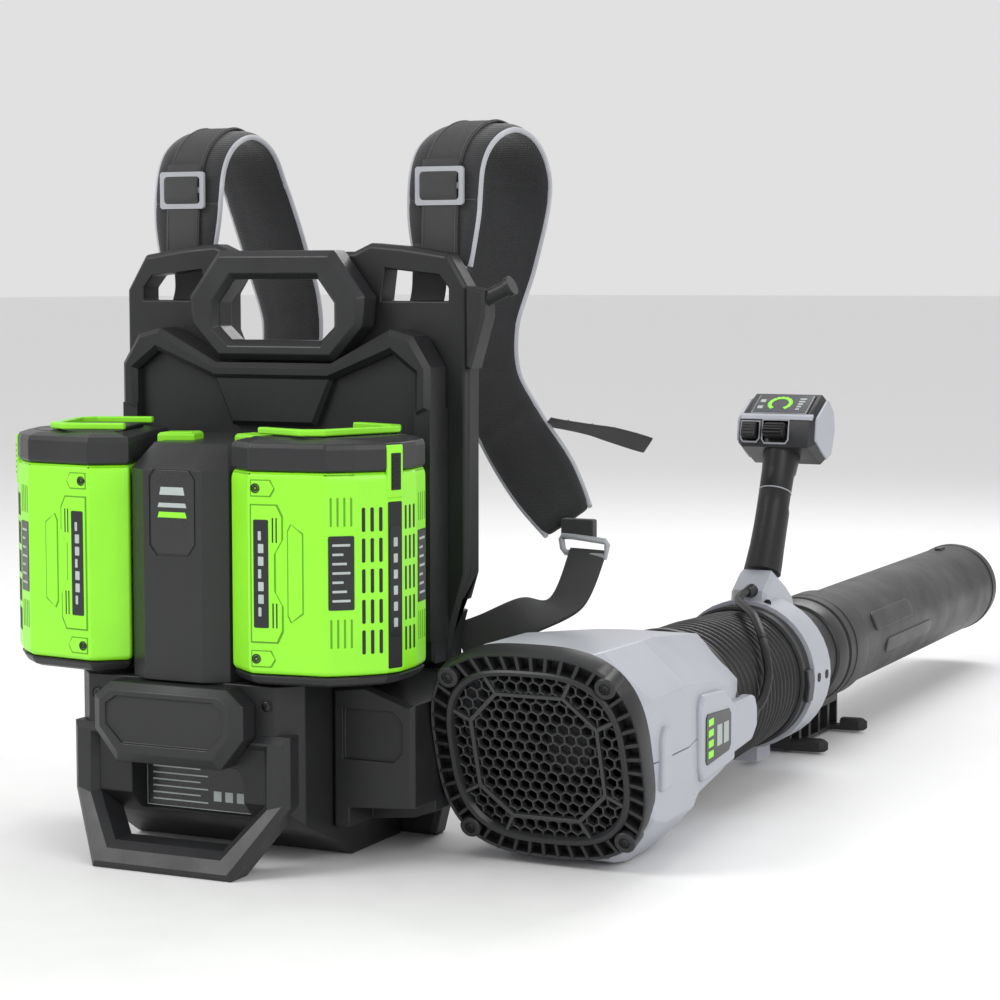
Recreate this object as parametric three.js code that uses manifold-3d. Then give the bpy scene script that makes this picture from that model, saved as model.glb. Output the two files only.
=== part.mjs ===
// Backpack leaf blower: a battery-powered carrier with a ducted fan, a bellows hose and a blowing tube.
// Millimetres. +Z up, +Y the way the wearer faces and the air leaves, +X the wearer's right.
// The origin is on the ground, on the flat foot of the base, in the middle plane of the carrier.
import * as THREE from "three";
import { mergeVertices } from "three/addons/utils/BufferGeometryUtils.js";
import Module from "manifold-3d";

const wasm = await Module();
wasm.setup();

// Driving dimensions
const GAP = 0.3; // clearance between pieces that touch
const WALL = 3; // moulded shell thickness
const BASE = { halfWidth: 116, rear: -140, front: 60, top: 168 };
const POST = { rear: -150, halfWidth: 30, shoulder: 50, shoulderY: -137, root: 110, rootY: 33.6, top: 377 };
const BATTERY = { x: 114.3, y: -72.5, splay: 20, bottom: 171, green: 181, greenTop: 357, capTop: 386 };
const FRAME = { y0: 62, y1: 90, halfWidth: 186, top: 556 };
const COVER = { y0: 34, y1: 61.5, halfWidth: 165 };
const AXIS = { x: 300, z: 101 }; // air axis: fan, hose and tube
const GRILLE = { y: -36, tilt: 18, half: 101, depth: 22 };
const HOUSING_END = 272;
const HOSE = { radius: 76, bore: 66, bendRear: 315, bendFront: 435, end: 476 };
const RING = { y0: 502, y1: 556, radius: 80 };
const TUBE = { radius: 58, wall: 2.5, start: 560, collar: 700, nozzle: 760, end: 1372 };
const HANDLE = { y: 560, z: 196, lean: 24.5, grip: 142 };
const STRAP = { thickness: 14, webbing: 38 };

const root = new THREE.Group();

// Materials
const material = (hex, roughness, metalness = 0) =>
  new THREE.MeshStandardMaterial({ color: hex, roughness, metalness });
const blackShell = material(0x2a2a2b, 0.5);
const greyShell = material(0xb4b6bd, 0.42);
const greenShell = material(0x86e014, 0.4);
const rubber = material(0x1c1c1d, 0.75);
const tubePlastic = material(0x333335, 0.45);
const fabric = material(0x262627, 0.95);
const webbingCloth = material(0x2e2e2f, 0.9);
const buckleMetal = material(0xb9bac0, 0.35, 0.6);
const steel = material(0x8a8c90, 0.35, 0.9);
const glass = material(0x3a3d42, 0.15);

// Solids
function solid(geometry) {
  const bare = geometry.index ? geometry.toNonIndexed() : geometry.clone();
  bare.deleteAttribute("normal");
  bare.deleteAttribute("uv");
  const merged = mergeVertices(bare, 1e-3);
  const make = (triVerts) =>
    new wasm.Manifold(
      new wasm.Mesh({ numProp: 3, vertProperties: merged.attributes.position.array, triVerts }),
    );
  const triVerts = new Uint32Array(merged.index.array);
  const made = make(triVerts);
  return made.volume() >= 0 ? made : make(triVerts.reverse());
}

function geometryOf(made) {
  const mesh = made.getMesh();
  const position = new Float32Array(mesh.numVert * 3);
  for (let i = 0; i < mesh.numVert; i++) {
    position.set(mesh.vertProperties.subarray(i * mesh.numProp, i * mesh.numProp + 3), i * 3);
  }
  const geometry = new THREE.BufferGeometry();
  geometry.setAttribute("position", new THREE.BufferAttribute(position, 3));
  geometry.setIndex(new THREE.BufferAttribute(new Uint32Array(mesh.triVerts), 1));
  geometry.computeVertexNormals();
  return geometry;
}

function add(parent, name, shape, finish) {
  const mesh = new THREE.Mesh(shape.isBufferGeometry ? shape : geometryOf(shape), finish);
  mesh.name = name;
  parent.add(mesh);
  return mesh;
}

const union = (...solids) => solids.reduce((a, b) => a.add(b));

// Outlines and prisms
function anticlockwise(points) {
  const loop = points.map(([a, b]) => new THREE.Vector2(a, b));
  return THREE.ShapeUtils.isClockWise(loop) ? loop.reverse() : loop;
}

function outline(points, holes = []) {
  const shape = new THREE.Shape(anticlockwise(points));
  shape.holes = holes.map((hole) => new THREE.Path(anticlockwise(hole)));
  return shape;
}

const mirrored = (half) => [...half, ...half.map(([a, b]) => [-a, b]).reverse()];

// A prism of an outline with chamfered rims; chamfer 0 leaves them square.
function extrude(points, from, to, chamfer = 0, holes = []) {
  const geometry = new THREE.ExtrudeGeometry(outline(points, holes), {
    depth: to - from - 2 * chamfer,
    bevelEnabled: chamfer > 0,
    bevelThickness: chamfer,
    bevelSize: chamfer,
    bevelOffset: -chamfer,
    bevelSegments: 1,
  });
  return geometry.translate(0, 0, from + chamfer);
}

// Outline in x and z, running along y.
function plateXZ(points, y0, y1, chamfer = 0, holes = []) {
  return solid(extrude(points, -y1, -y0, chamfer, holes).rotateX(Math.PI / 2));
}

// Outline in y and z, running along x.
function plateYZ(points, x0, x1, chamfer = 0, holes = []) {
  const turn = new THREE.Matrix4().makeBasis(
    new THREE.Vector3(0, 1, 0),
    new THREE.Vector3(0, 0, 1),
    new THREE.Vector3(1, 0, 0),
  );
  return solid(extrude(points, x0, x1, chamfer, holes).applyMatrix4(turn));
}

// Outline in x and y, running along z.
const plateXY = (points, z0, z1, chamfer = 0, holes = []) => solid(extrude(points, z0, z1, chamfer, holes));

function box(x0, x1, y0, y1, z0, z1) {
  const geometry = new THREE.BoxGeometry(x1 - x0, y1 - y0, z1 - z0);
  return solid(geometry.translate((x0 + x1) / 2, (y0 + y1) / 2, (z0 + z1) / 2));
}

// A turned piece about the y direction through (x, z); the profile is [radius, y] pairs and closes itself.
function turned(profile, x = AXIS.x, z = AXIS.z, segments = 32) {
  const closed = [...profile, profile[0]].map(([r, y]) => new THREE.Vector2(r, y));
  return solid(new THREE.LatheGeometry(closed, segments).translate(x, 0, z));
}

const bush = (outer, inner, y0, y1, x = AXIS.x, z = AXIS.z, segments = 32) =>
  turned([[inner, y0], [outer, y0], [outer, y1], [inner, y1]], x, z, segments);

function rod(radius, length, segments = 16) {
  return new THREE.CylinderGeometry(radius, radius, length, segments);
}

// A skin through rings of points, all with the same count and each one convex.
function loft(rings) {
  const count = rings[0].length;
  const position = rings.flat().flatMap((p) => [p.x, p.y, p.z]);
  const index = [];
  for (let i = 0; i + 1 < rings.length; i++) {
    for (let j = 0; j < count; j++) {
      const a = i * count + j;
      const b = i * count + ((j + 1) % count);
      index.push(a, b, b + count, a, b + count, a + count);
    }
  }
  const last = (rings.length - 1) * count;
  for (let j = 1; j + 1 < count; j++) {
    index.push(0, j + 1, j, last, last + j, last + j + 1);
  }
  const geometry = new THREE.BufferGeometry();
  geometry.setAttribute("position", new THREE.Float32BufferAttribute(position, 3));
  geometry.setIndex(index);
  return solid(geometry);
}

// A flat strap through [x, y, z, half width, across] points; its width lies across x where none is given.
function strap(points, thickness, steps) {
  const way = (p) => new THREE.Vector3(p[4] ?? 1, p[5] ?? 0, p[6] ?? 0);
  const curve = new THREE.CatmullRomCurve3(points.map(([x, y, z]) => new THREE.Vector3(x, y, z)));
  const rings = [];
  for (let i = 0; i <= steps; i++) {
    const t = i / steps;
    const along = curve.getTangent(t);
    const at = t * (points.length - 1);
    const k = Math.min(Math.floor(at), points.length - 2);
    const half = THREE.MathUtils.lerp(points[k][3], points[k + 1][3], at - k);
    const across = way(points[k]).lerp(way(points[k + 1]), at - k);
    across.addScaledVector(along, -along.dot(across)).normalize();
    const face = new THREE.Vector3().crossVectors(along, across);
    const centre = curve.getPoint(t);
    const corner = (a, b) => centre.clone().addScaledVector(across, a * half).addScaledVector(face, (b * thickness) / 2);
    rings.push([corner(-1, -0.5), corner(-0.9, -1), corner(0.9, -1), corner(1, -0.5),
      corner(1, 0.5), corner(0.9, 1), corner(-0.9, 1), corner(-1, 0.5)]);
  }
  return loft(rings);
}

// Base of the carrier
function baseHousing() {
  const side = [[BASE.rear, BASE.top], [BASE.rear, 62], [-118, 40], [-60, 16], [-34, 0],
    [BASE.front, 0], [BASE.front, BASE.top]];
  const inner = [[BASE.rear + WALL, BASE.top - WALL], [BASE.rear + WALL, 64], [-116, 43], [-58, 19],
    [-32, WALL], [BASE.front + 1, WALL], [BASE.front + 1, BASE.top - WALL]];
  const cornerCut = (sign) =>
    plateXY([[sign * 96, BASE.rear - 1], [sign * 130, BASE.rear - 1], [sign * 130, -106]], -1, BASE.top + 1);
  const shell = plateYZ(side, -BASE.halfWidth, BASE.halfWidth)
    .subtract(cornerCut(1))
    .subtract(cornerCut(-1));
  const hollow = plateYZ(inner, -BASE.halfWidth + WALL, BASE.halfWidth - WALL)
    .subtract(cornerCut(1).translate([-WALL, WALL, 0]))
    .subtract(cornerCut(-1).translate([WALL, WALL, 0]));
  const labelRecess = plateXZ([[-52, 92], [58, 92], [64, 80], [64, 46], [-52, 46]], BASE.rear - 1, -116);
  const pocket = plateXZ([[-55, 95], [61, 95], [67, 82], [67, 43], [-55, 43]], BASE.rear - 1, -113);
  return shell.subtract(hollow.subtract(pocket)).subtract(labelRecess);
}

function baseFrontCover() {
  const rim = [[60, 166], [77, 152], [77, 122], [54, 94]];
  const face = [[56, 159], [67, 150], [67, 126], [49, 104]];
  const ring = (half, y) => mirrored(half).map(([x, z]) => new THREE.Vector3(x, y, z));
  const body = loft([ring(rim, BASE.rear - GAP), ring(rim, -161), ring(face, -168)]);
  const hollow = plateXZ(mirrored([[55, 160], [70, 149], [70, 125], [49, 101]]), -158, BASE.rear);
  const recess = plateXZ(mirrored([[50, 154], [61, 147], [61, 129], [44, 112]]), -170, -165.5);
  return body.subtract(hollow).subtract(recess);
}

// The guard loop under the rear of the base leans out to the rear at its foot.
function lowerHandle() {
  const outer = mirrored([[112, 126], [112, 64], [72, 2]]);
  const opening = mirrored([[86, 112], [86, 64], [56, 25]]);
  const loop = extrude(outer, 108, 146, 6, [opening]).rotateX(Math.PI / 2);
  const corners = loop.getAttribute("position");
  for (let i = 0; i < corners.count; i++) {
    corners.setY(i, corners.getY(i) - 0.56 * Math.max(0, 64 - corners.getZ(i)));
  }
  const leant = solid(loop).translate([0, 0, -2]);
  const besideBase = (s) => plateXY([[s * 96.6, -150], [s * 96.6, -141.4], [s * 131, -106], [s * 131, -150]], 40, 130);
  const keepOut = plateYZ([[BASE.rear - GAP, 300], [BASE.rear - GAP, 62], [-118.3, 39.5], [-60, 15.5],
    [-34, -0.4], [400, -0.4], [400, 300]], -200, 200).subtract(besideBase(1)).subtract(besideBase(-1));
  const coverRoom = plateXZ(mirrored([[61, 168], [78, 153], [78, 121], [55, 93]]), -175, -130);
  return leant.subtract(keepOut).subtract(coverRoom).subtract(box(-200, 200, -300, 300, -50, 0));
}

// Arm that carries the fan unit on the right of the base
function sideArm() {
  const face = [[BASE.halfWidth + GAP, 160], [150, 164], [198.7, 148], [198.7, 46], [176, 38],
    [BASE.halfWidth + GAP, 32]];
  const body = plateXZ(face, -74, BASE.front, 4);
  const recess = plateXZ([[128, 141], [178, 141], [187, 132], [187, 105], [178, 96], [128, 96]], -80, -70);
  const undercut = plateXZ([[134, 52], [230, 58], [230, 10], [176, -5], [134, -5]], -80, -30);
  const hollow = box(BASE.halfWidth + 6, 192, -66, BASE.front + 1, 64, 142);
  return body.subtract(recess).subtract(undercut).subtract(hollow);
}

// Upright frame against the wearer's back
function harnessFrame() {
  const half = [[66, 548], [84, FRAME.top], [118, 553], [165, 546], [FRAME.halfWidth, 512], [FRAME.halfWidth, 250],
    [168, 190], [168, 132], [200.4, 124], [200.4, 84], [168, 70], [150, 0]];
  const window = (s) => [[s * 100, 532], [s * 156, 526], [s * 166, 514], [s * 166, 502], [s * 96, 502]];
  const vent = (s) => [[s * 40, 430], [s * 100, 430], [s * 100, 220], [s * 40, 220]];
  const handRoom = mirrored([[62, 452], [72, 474], [72, 508], [56, 532]]);
  const pocket = (s) => box(Math.min(s * 108, s * 178), Math.max(s * 108, s * 178), 68, FRAME.y1 + 1, 214, 490);
  const openings = [window(1), window(-1), vent(1), vent(-1), handRoom];
  return openings.reduce(
    (plate, opening) => plate.subtract(plateXZ(opening, FRAME.y0 - 1, FRAME.y1 + 1)),
    plateXZ(mirrored(half), FRAME.y0, FRAME.y1, 4),
  ).subtract(box(-34, 34, 68, FRAME.y1 + 1, 110, 436)).subtract(box(-146, 146, 68, FRAME.y1 + 1, 24, 92))
    .subtract(pocket(1)).subtract(pocket(-1));
}

// Rear cover with its brow, which stands out to the rear over the batteries
function rearCover() {
  const half = [[66, 442], [124, 474], [146, 468], [COVER.halfWidth, 440], [COVER.halfWidth, BASE.top + GAP]];
  const body = plateXZ(mirrored(half), COVER.y0, COVER.y1, 3);
  const browHalf = [[62, 444], [124, 476], [148, 470], [166, 442], [166, 402], [150, 396], [150, 436], [126, 454], [62, 428]];
  const brow = plateXZ(mirrored(browHalf), 21, COVER.y1, 5);
  const sideRib = (s) => box(Math.min(s * 150, s * 166), Math.max(s * 150, s * 166), 24, COVER.y1, 190, 404);
  const panel = plateXZ([[-65, 432], [65, 432], [45, 385], [-45, 385]], 24, 44, 4);
  const hollow = plateXZ(mirrored([[40, 430], [120, 440], [150, 420], [150, 180]]), 44, COVER.y1 + 1);
  return union(body, brow, sideRib(1), sideRib(-1), panel).subtract(hollow);
}

function carryHandle() {
  const outer = mirrored([[62, 446], [92, 478], [95, 506], [62, 549]]);
  const opening = mirrored([[48, 465], [62, 478], [62, 500], [45, 522]]);
  return plateXZ(outer, 27, COVER.y1, 6, [opening])
    .subtract(plateXZ(mirrored([[66, 442.3], [124, 476.3], [170, 400], [62, 400]]), -20, 80))
    .subtract(plateXZ([[-63, 444.6], [63, 444.6], [63, 400], [-63, 400]], -20, 80));
}

// Post between the batteries: a wedge in plan with a chamfered top
function batteryPost() {
  const plan = (inset) => mirrored([[POST.halfWidth - inset, POST.rear + inset], [POST.shoulder - inset, POST.shoulderY],
    [POST.root - inset, POST.rootY]]);
  const ring = (points, z) => points.map(([x, y]) => new THREE.Vector3(x, y, z));
  const top = mirrored([[20, -128], [38, -118], [74, POST.rootY]]);
  const body = loft([ring(plan(0), BASE.top + GAP), ring(plan(0), POST.top - 22), ring(top, POST.top)]);
  const hollow = loft([ring(plan(WALL), BASE.top - 1), ring(plan(WALL), POST.top - 24),
    ring(mirrored([[15, -122], [32, -112], [66, POST.rootY - 4]]), POST.top - 5)]);
  const slot = (s) => plateXY([[s * 20, -80], [s * 52, -96], [s * 58, -66], [s * 27, -50]].map(([x, y]) => [x, y]),
    POST.top - 30, POST.top + 1);
  const badgeSeat = plateXZ(mirrored([[18, 357], [24, 349], [24, 288], [16, 278]]), POST.rear - 1, POST.rear + 1.2);
  return body.subtract(hollow).subtract(slot(1)).subtract(slot(-1)).subtract(badgeSeat);
}

// Push block that frees a battery, in its slot in the post's top
function releaseButton(s) {
  return plateXY([[s * 21, -79], [s * 51, -94.5], [s * 56.6, -67], [s * 27.6, -51.5]], POST.top - 26, POST.top + 7, 2);
}

// One spine inside the post with the contact blocks that the batteries slide onto
function terminalDock() {
  return plateXY([[-30, -80], [30, -80], [52, -14], [-52, -14]], BASE.top + 2, BASE.top + 62, 3);
}

const controlModule = () => union(
  box(-60, 60, -50, 30, 24, 50),
  ...[-50, -30, -10, 10, 30, 50].map((x) => box(x - 2, x + 2, -48, 28, 49, 74)),
);

// Storage peg on its bracket at the right of the frame; the peg slopes up outwards.
function hangerPeg() {
  const bracket = plateXZ([[186.3, 516], [206, 512], [206, 488], [192, 440], [186.3, 440]], 54, 82, 3);
  const lie = (radius, length, out) =>
    solid(rod(radius, length).rotateZ(-Math.PI / 2).translate(out, 0, 0))
      .rotate([0, -25, 0])
      .translate([200, 66, 503]);
  return union(bracket, lie(7.5, 30, 13), lie(9.5, 5, 30));
}

// Harness
const STRAP_ROUTE = [
  [141, 103, 534, 28], [141, 104, 580, 36], [141, 112, 628, 37], [143, 138, 654, 37], [146, 180, 664, 37],
  [149, 222, 650, 37], [148, 248, 612, 37], [130, 258, 545, 36], [112, 258, 480, 34], [118, 252, 420, 33],
  [150, 240, 370, 34], [190, 224, 325, 34], [224, 206, 288, 26],
];
const LOWER_WEBBING = [
  [250, 196, 262, 19, 1, 0, 0], [246, 152, 216, 19, 1, 0, 0], [220, 114, 206, 19, 0.7, 0, -0.7],
  [188, 99, 190, 19, 0.4, 0, -0.9], [161, 98, 180, 19, 0.3, 0, -1],
];
const side = (s, points) => points.map(([x, y, z, w, ...across]) =>
  [s * x, y, z, w, ...across.map((v, i) => (i ? s * v : v))]);

function ladderLock(s) {
  const frame = plateXZ([[s * 141 - 25, 591], [s * 141 + 25, 591], [s * 141 + 25, 627], [s * 141 - 25, 627]], 0, 5, 1,
    [[[s * 141 - 19, 597], [s * 141 + 19, 597], [s * 141 + 19, 606], [s * 141 - 19, 606]],
      [[s * 141 - 19, 612], [s * 141 + 19, 612], [s * 141 + 19, 621], [s * 141 - 19, 621]]]);
  return frame.translate([0, 92.5, 0]);
}

function harness() {
  for (const [s, name] of [[-1, "left"], [1, "right"]]) {
    add(root, `shoulder_strap_${name}`, strap(side(s, STRAP_ROUTE), STRAP.thickness, 22), fabric);
    add(root, `lower_webbing_${name}`, strap(side(s, LOWER_WEBBING), 2.4, 8), webbingCloth);
    add(root, `ladder_lock_${name}`, ladderLock(s), buckleMetal);
  }
  add(root, "sternum_strap", strap([[190, 236, 380, 19], [230, 262, 372, 19], [272, 286, 358, 19]]
    .map(([x, y, z]) => [x, y + 8, z]).map(([x, y, z]) => [x, y, z, 19]), 2.4, 4), webbingCloth);
  const pad = (points) => plateXZ(mirrored(points), FRAME.y1 + GAP, FRAME.y1 + 30, 9);
  add(root, "back_pad", pad([[40, 470], [92, 450], [96, 300], [60, 285]]), fabric);
  add(root, "lumbar_pad", pad([[80, 262], [132, 246], [140, 130], [100, 96]]), fabric);
}

// Battery, in its own frame: x outwards, y across, z up
const BATTERY_HALF = [[-36, 82], [0, 92], [63, 59], [77, 35], [87, 9]];
const batteryOutline = (inset) => {
  const pull = (v) => v * (1 - inset / 88);
  const half = BATTERY_HALF.map(([u, v]) => [25 + pull(u - 25), pull(v)]);
  return [...half, ...half.map(([u, v]) => [u, -v]).reverse()];
};

function battery(s, name) {
  const group = new THREE.Group();
  group.position.set(s * BATTERY.x, BATTERY.y, 0);
  group.rotation.z = THREE.MathUtils.degToRad(s > 0 ? -BATTERY.splay : 180 + BATTERY.splay);
  root.add(group);
  const ring = (inset, z) => batteryOutline(inset).map(([u, v]) => new THREE.Vector3(u, v, z));
  const latchNotch = box(83.4, 100, -9.4, 9.4, 333.5, 400);
  const shell = plateXY(batteryOutline(0), BATTERY.green, BATTERY.greenTop)
    .subtract(plateXY(batteryOutline(WALL), BATTERY.green - 1, BATTERY.greenTop + 1)).subtract(latchNotch);
  add(group, `battery_${name}_shell`, shell, greenShell);
  const tray = loft([ring(9, BATTERY.bottom), ring(2, BATTERY.bottom + 4), ring(1, BATTERY.green - GAP)]);
  add(group, `battery_${name}_tray`, tray, blackShell);
  const cap = loft([ring(0.5, BATTERY.greenTop + GAP), ring(0.5, BATTERY.capTop - 3), ring(4, BATTERY.capTop)])
    .subtract(latchNotch);
  add(group, `battery_${name}_cap`, cap, blackShell);
  add(group, `battery_${name}_cells`, box(-20, 48, -44, 44, BATTERY.green + 4, BATTERY.greenTop - 12), steel);
  const latch = plateYZ([[-9, 334], [9, 334], [9, 380], [-9, 380]], 83.8, 88.4, 1.2);
  add(group, `battery_${name}_latch`, latch, greenShell);
  const bailArms = [[-26, 60], [30, 60], [46, 44], [46, -44], [30, -60], [-26, -60], [-26, -51], [26, -51],
    [37, -40], [37, 40], [26, 51], [-26, 51]];
  add(group, `battery_${name}_bail`, plateXY(bailArms, BATTERY.capTop + 1, BATTERY.capTop + 7), greenShell);
}

// Fan unit
// A ring of the fan housing: an octagon of half sizes a and b with corners cut by c, leaning back by slope.
function housingRing([y, a, b, c, slope], inset = 0) {
  const corner = [[a, b - c], [a - c, b], [c - a, b], [-a, b - c], [-a, c - b], [c - a, -b], [a - c, -b], [a, c - b]];
  const scale = (half) => 1 - inset / half;
  return corner.map(([x, z]) =>
    new THREE.Vector3(AXIS.x + x * scale(a), y + slope * z * scale(b), AXIS.z + z * scale(b)));
}
const SLOPE = -Math.tan(THREE.MathUtils.degToRad(GRILLE.tilt));
const HOUSING_RINGS = [
  [GRILLE.y + 24, 99, 99, 38, SLOPE], [84, 98, 97, 40, 0.5 * SLOPE], [128, 89, 93, 42, 0.3 * SLOPE],
  [206, 86, 84, 42, 0], [HOUSING_END, 75, 75, 43, 0],
];

function fanHousing() {
  const outer = loft(HOUSING_RINGS.map((r) => housingRing(r)));
  const stretched = HOUSING_RINGS.map((r) => [...r]);
  stretched[0][0] -= 2;
  stretched[4][0] += 2;
  const inner = loft(stretched.map((r) => housingRing(r, WALL)));
  const pod = plateYZ([[122, 132], [132, 142], [190, 138], [222, 118], [292, 118], [300, 104], [300, 84], [284, 72],
    [214, 66], [132, 58], [122, 70]], 366, 394, 4)
    .subtract(box(388, 400, 216, 310, 0, 200))
    .subtract(box(360, 377.5, 262, 310, 0, 200));
  const boss = box(392, 404, 6, 28, 74, 130);
  const foot = box(AXIS.x - 46, AXIS.x + 46, 60, 190, 0, 30);
  const whole = union(outer, pod, boss, foot).subtract(inner);
  const above = box(150, 450, -200, 400, AXIS.z + GAP / 2, 400);
  const below = box(150, 450, -200, 400, -50, AXIS.z - GAP / 2);
  return [whole.intersect(above), whole.intersect(below)];
}

// The grille is built upright about its own centre, then leant so that it faces down and to the rear.
function intakeGrille() {
  const octagon = (h, c) => [[h, c], [c, h], [-c, h], [-h, c], [-h, -c], [-c, -h], [c, -h], [h, -c]];
  const rim = plateXZ(octagon(GRILLE.half, 50), 0, GRILLE.depth, 5, [octagon(84, 42)]);
  const ribRing = plateXZ(octagon(60, 32), 2, 9, 0, [octagon(54, 29)]);
  const bar = (angle) => box(-2, 2, 2, 9, 50, 92).rotate([0, angle, 0]);
  const mesh = [];
  for (let k = -3; k <= 3; k++) {
    const reach = Math.abs(k) > 2 ? 62 : 86;
    mesh.push(box(k * 20 - 1.2, k * 20 + 1.2, 9, 14, -reach, reach));
    mesh.push(box(-reach, reach, 9, 14, k * 20 - 1.2, k * 20 + 1.2));
  }
  return union(rim, ribRing, ...[-30, 30, 60, 120, 150, 210, 240, 300].map(bar), ...mesh);
}

function impeller() {
  const hub = turned([[0, 34], [22, 36], [31, 44], [33, 54], [33, 88], [0, 88]], 0, 0, 24);
  const blades = [];
  for (let k = 0; k < 9; k++) {
    const turn = solid(new THREE.BoxGeometry(2.4, 40, 54).rotateZ(-0.7)).translate([0, 68, 57]);
    blades.push(turn.rotate([0, (360 / 9) * k, 0]));
  }
  const sweep = turned([[0, 30], [85.5, 30], [85.5, 120], [0, 120]], 0, 0, 36);
  return union(hub, ...blades.map((b) => b.intersect(sweep))).translate([AXIS.x, 0, AXIS.z]);
}

function motorMount() {
  const sleeve = bush(36, 32.3, 96, 176);
  const ring = bush(84, 81, 104, 150, AXIS.x, AXIS.z, 28);
  const vanes = [];
  for (let k = 0; k < 5; k++) {
    vanes.push(box(-1.5, 1.5, 106, 148, 34, 82.5).rotate([0, (360 / 5) * k, 0]).translate([AXIS.x, 0, AXIS.z]));
  }
  const cone = turned([[0, 180], [36, 180], [24, 215], [0, 238]]);
  const neck = bush(36, 30, 175, 181);
  return union(sleeve, ring, cone, neck, ...vanes);
}

function fanUnit() {
  const lean = new THREE.Group();
  lean.position.set(AXIS.x, GRILLE.y, AXIS.z + 1.5);
  lean.rotation.x = THREE.MathUtils.degToRad(GRILLE.tilt);
  root.add(lean);
  add(lean, "intake_grille", intakeGrille(), blackShell);
  const [upper, lower] = fanHousing();
  add(root, "fan_housing_upper", upper, greyShell);
  add(root, "fan_housing_lower", lower, greyShell);
  add(root, "inlet_duct", bush(89.5, 87, 38, 102, AXIS.x, AXIS.z, 32), blackShell);
  add(root, "impeller", impeller(), blackShell);
  add(root, "motor_mount", motorMount(), blackShell);
  add(root, "motor", turned([[0, 88.4], [5, 88.4], [5, 97], [32, 97], [32, 172], [0, 172]]), steel);
}

// Hose and tube
function hoseSection(y0, y1) {
  const profile = [];
  const pitch = (y1 - y0) / Math.round((y1 - y0) / 12);
  for (let y = y0; y < y1 - 0.1; y += pitch) {
    profile.push([HOSE.radius - 4, y], [HOSE.radius, y + pitch / 2]);
  }
  profile.push([HOSE.radius - 4, y1]);
  return turned([[HOSE.bore, y0], ...profile, [HOSE.bore, y1]], AXIS.x, AXIS.z, 24);
}

function handleRing() {
  const ring = bush(RING.radius, 63, RING.y0, RING.y1, AXIS.x, AXIS.z, 40);
  const web = plateYZ([[512, 172], [618, 150], [606, 176], [584, 190], [544, 209], [514, 190]], AXIS.x - 20, AXIS.x + 20, 4)
    .subtract(bush(140, 0, 400, 700).intersect(turned([[0, 400], [63, 400], [63, 700], [0, 700]])));
  const keel = box(AXIS.x - 14, AXIS.x + 14, RING.y0 + 6, RING.y1 - 6, 6, 28);
  return union(ring, web, keel).subtract(turned([[0, 400], [63, 400], [63, 700], [0, 700]], AXIS.x, AXIS.z, 40));
}

function tubeUnit() {
  const bands = bush(74, HOSE.radius - 12, HOSE.end + GAP, RING.y0 - GAP, AXIS.x, AXIS.z, 32);
  add(root, "hose_rear", hoseSection(HOUSING_END + GAP, 350), rubber);
  add(root, "hose_middle", hoseSection(350 + GAP, 400), rubber);
  add(root, "hose_front", hoseSection(400 + GAP, HOSE.end), rubber);
  add(root, "hose_clamp_band", bands, blackShell);
  const lever = plateXZ([[0, -17], [5, -17], [7, 0], [5, 17], [0, 17]], 480, 498, 1);
  add(root, "hose_clamp_latch", lever.translate([AXIS.x + 74.4, 0, AXIS.z - 5]), blackShell);
  add(root, "handle_ring", handleRing(), greyShell);
  const r = TUBE.radius;
  const w = TUBE.wall;
  add(root, "middle_tube", turned([[52, RING.y0 + 6], [62.6, RING.y0 + 6], [62.6, TUBE.start + 4], [r - 4, TUBE.start + 24],
    [r - 4, TUBE.collar + 40], [r - 7, TUBE.collar + 40], [r - 7, TUBE.start + 24]]), tubePlastic);
  add(root, "outlet_tube", turned([[r - 3.6, TUBE.collar - 12], [r + 4, TUBE.collar], [r + 4, TUBE.nozzle],
    [r, TUBE.nozzle + 8], [r, TUBE.end - 16], [r - 1, TUBE.end], [r - w - 1, TUBE.end], [r - w, TUBE.end - 16],
    [r - w, TUBE.nozzle + 8], [r - 3.6, TUBE.nozzle - 8]]), tubePlastic);
  add(root, "accessory_clip", accessoryClip(), blackShell);
}

// Two spring fingers on a ribbed block under the middle tube
function accessoryClip() {
  const room = turned([[0, 500], [TUBE.radius - 4 + GAP, 500], [TUBE.radius - 4 + GAP, TUBE.collar - 14],
    [TUBE.radius + 4 + GAP, TUBE.collar - 14], [TUBE.radius + 4 + GAP, 800], [0, 800]]);
  const block = box(AXIS.x - 20, AXIS.x + 20, 600, 772, 4, 60).subtract(room);
  const cells = [];
  for (const y of [606, 640, 674, 708, 742]) {
    cells.push(box(AXIS.x + 4, AXIS.x + 30, y, y + 26, 8, 34));
  }
  const finger = (y) => plateXY([[AXIS.x + 10, y], [AXIS.x + 52, y + 4], [AXIS.x + 60, y + 12], [AXIS.x + 52, y + 20],
    [AXIS.x + 10, y + 16]], 2, 16, 3);
  return union(block, finger(601), finger(748)).subtract(union(...cells));
}

// Control handle, built upright on its foot and leant forwards
function gripRing(halfX, halfY, z, y = 0) {
  const ring = [];
  for (let i = 0; i < 16; i++) {
    const angle = (2 * Math.PI * i) / 16;
    ring.push(new THREE.Vector3(halfX * Math.cos(angle), y + halfY * Math.sin(angle), z));
  }
  return ring;
}

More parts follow.
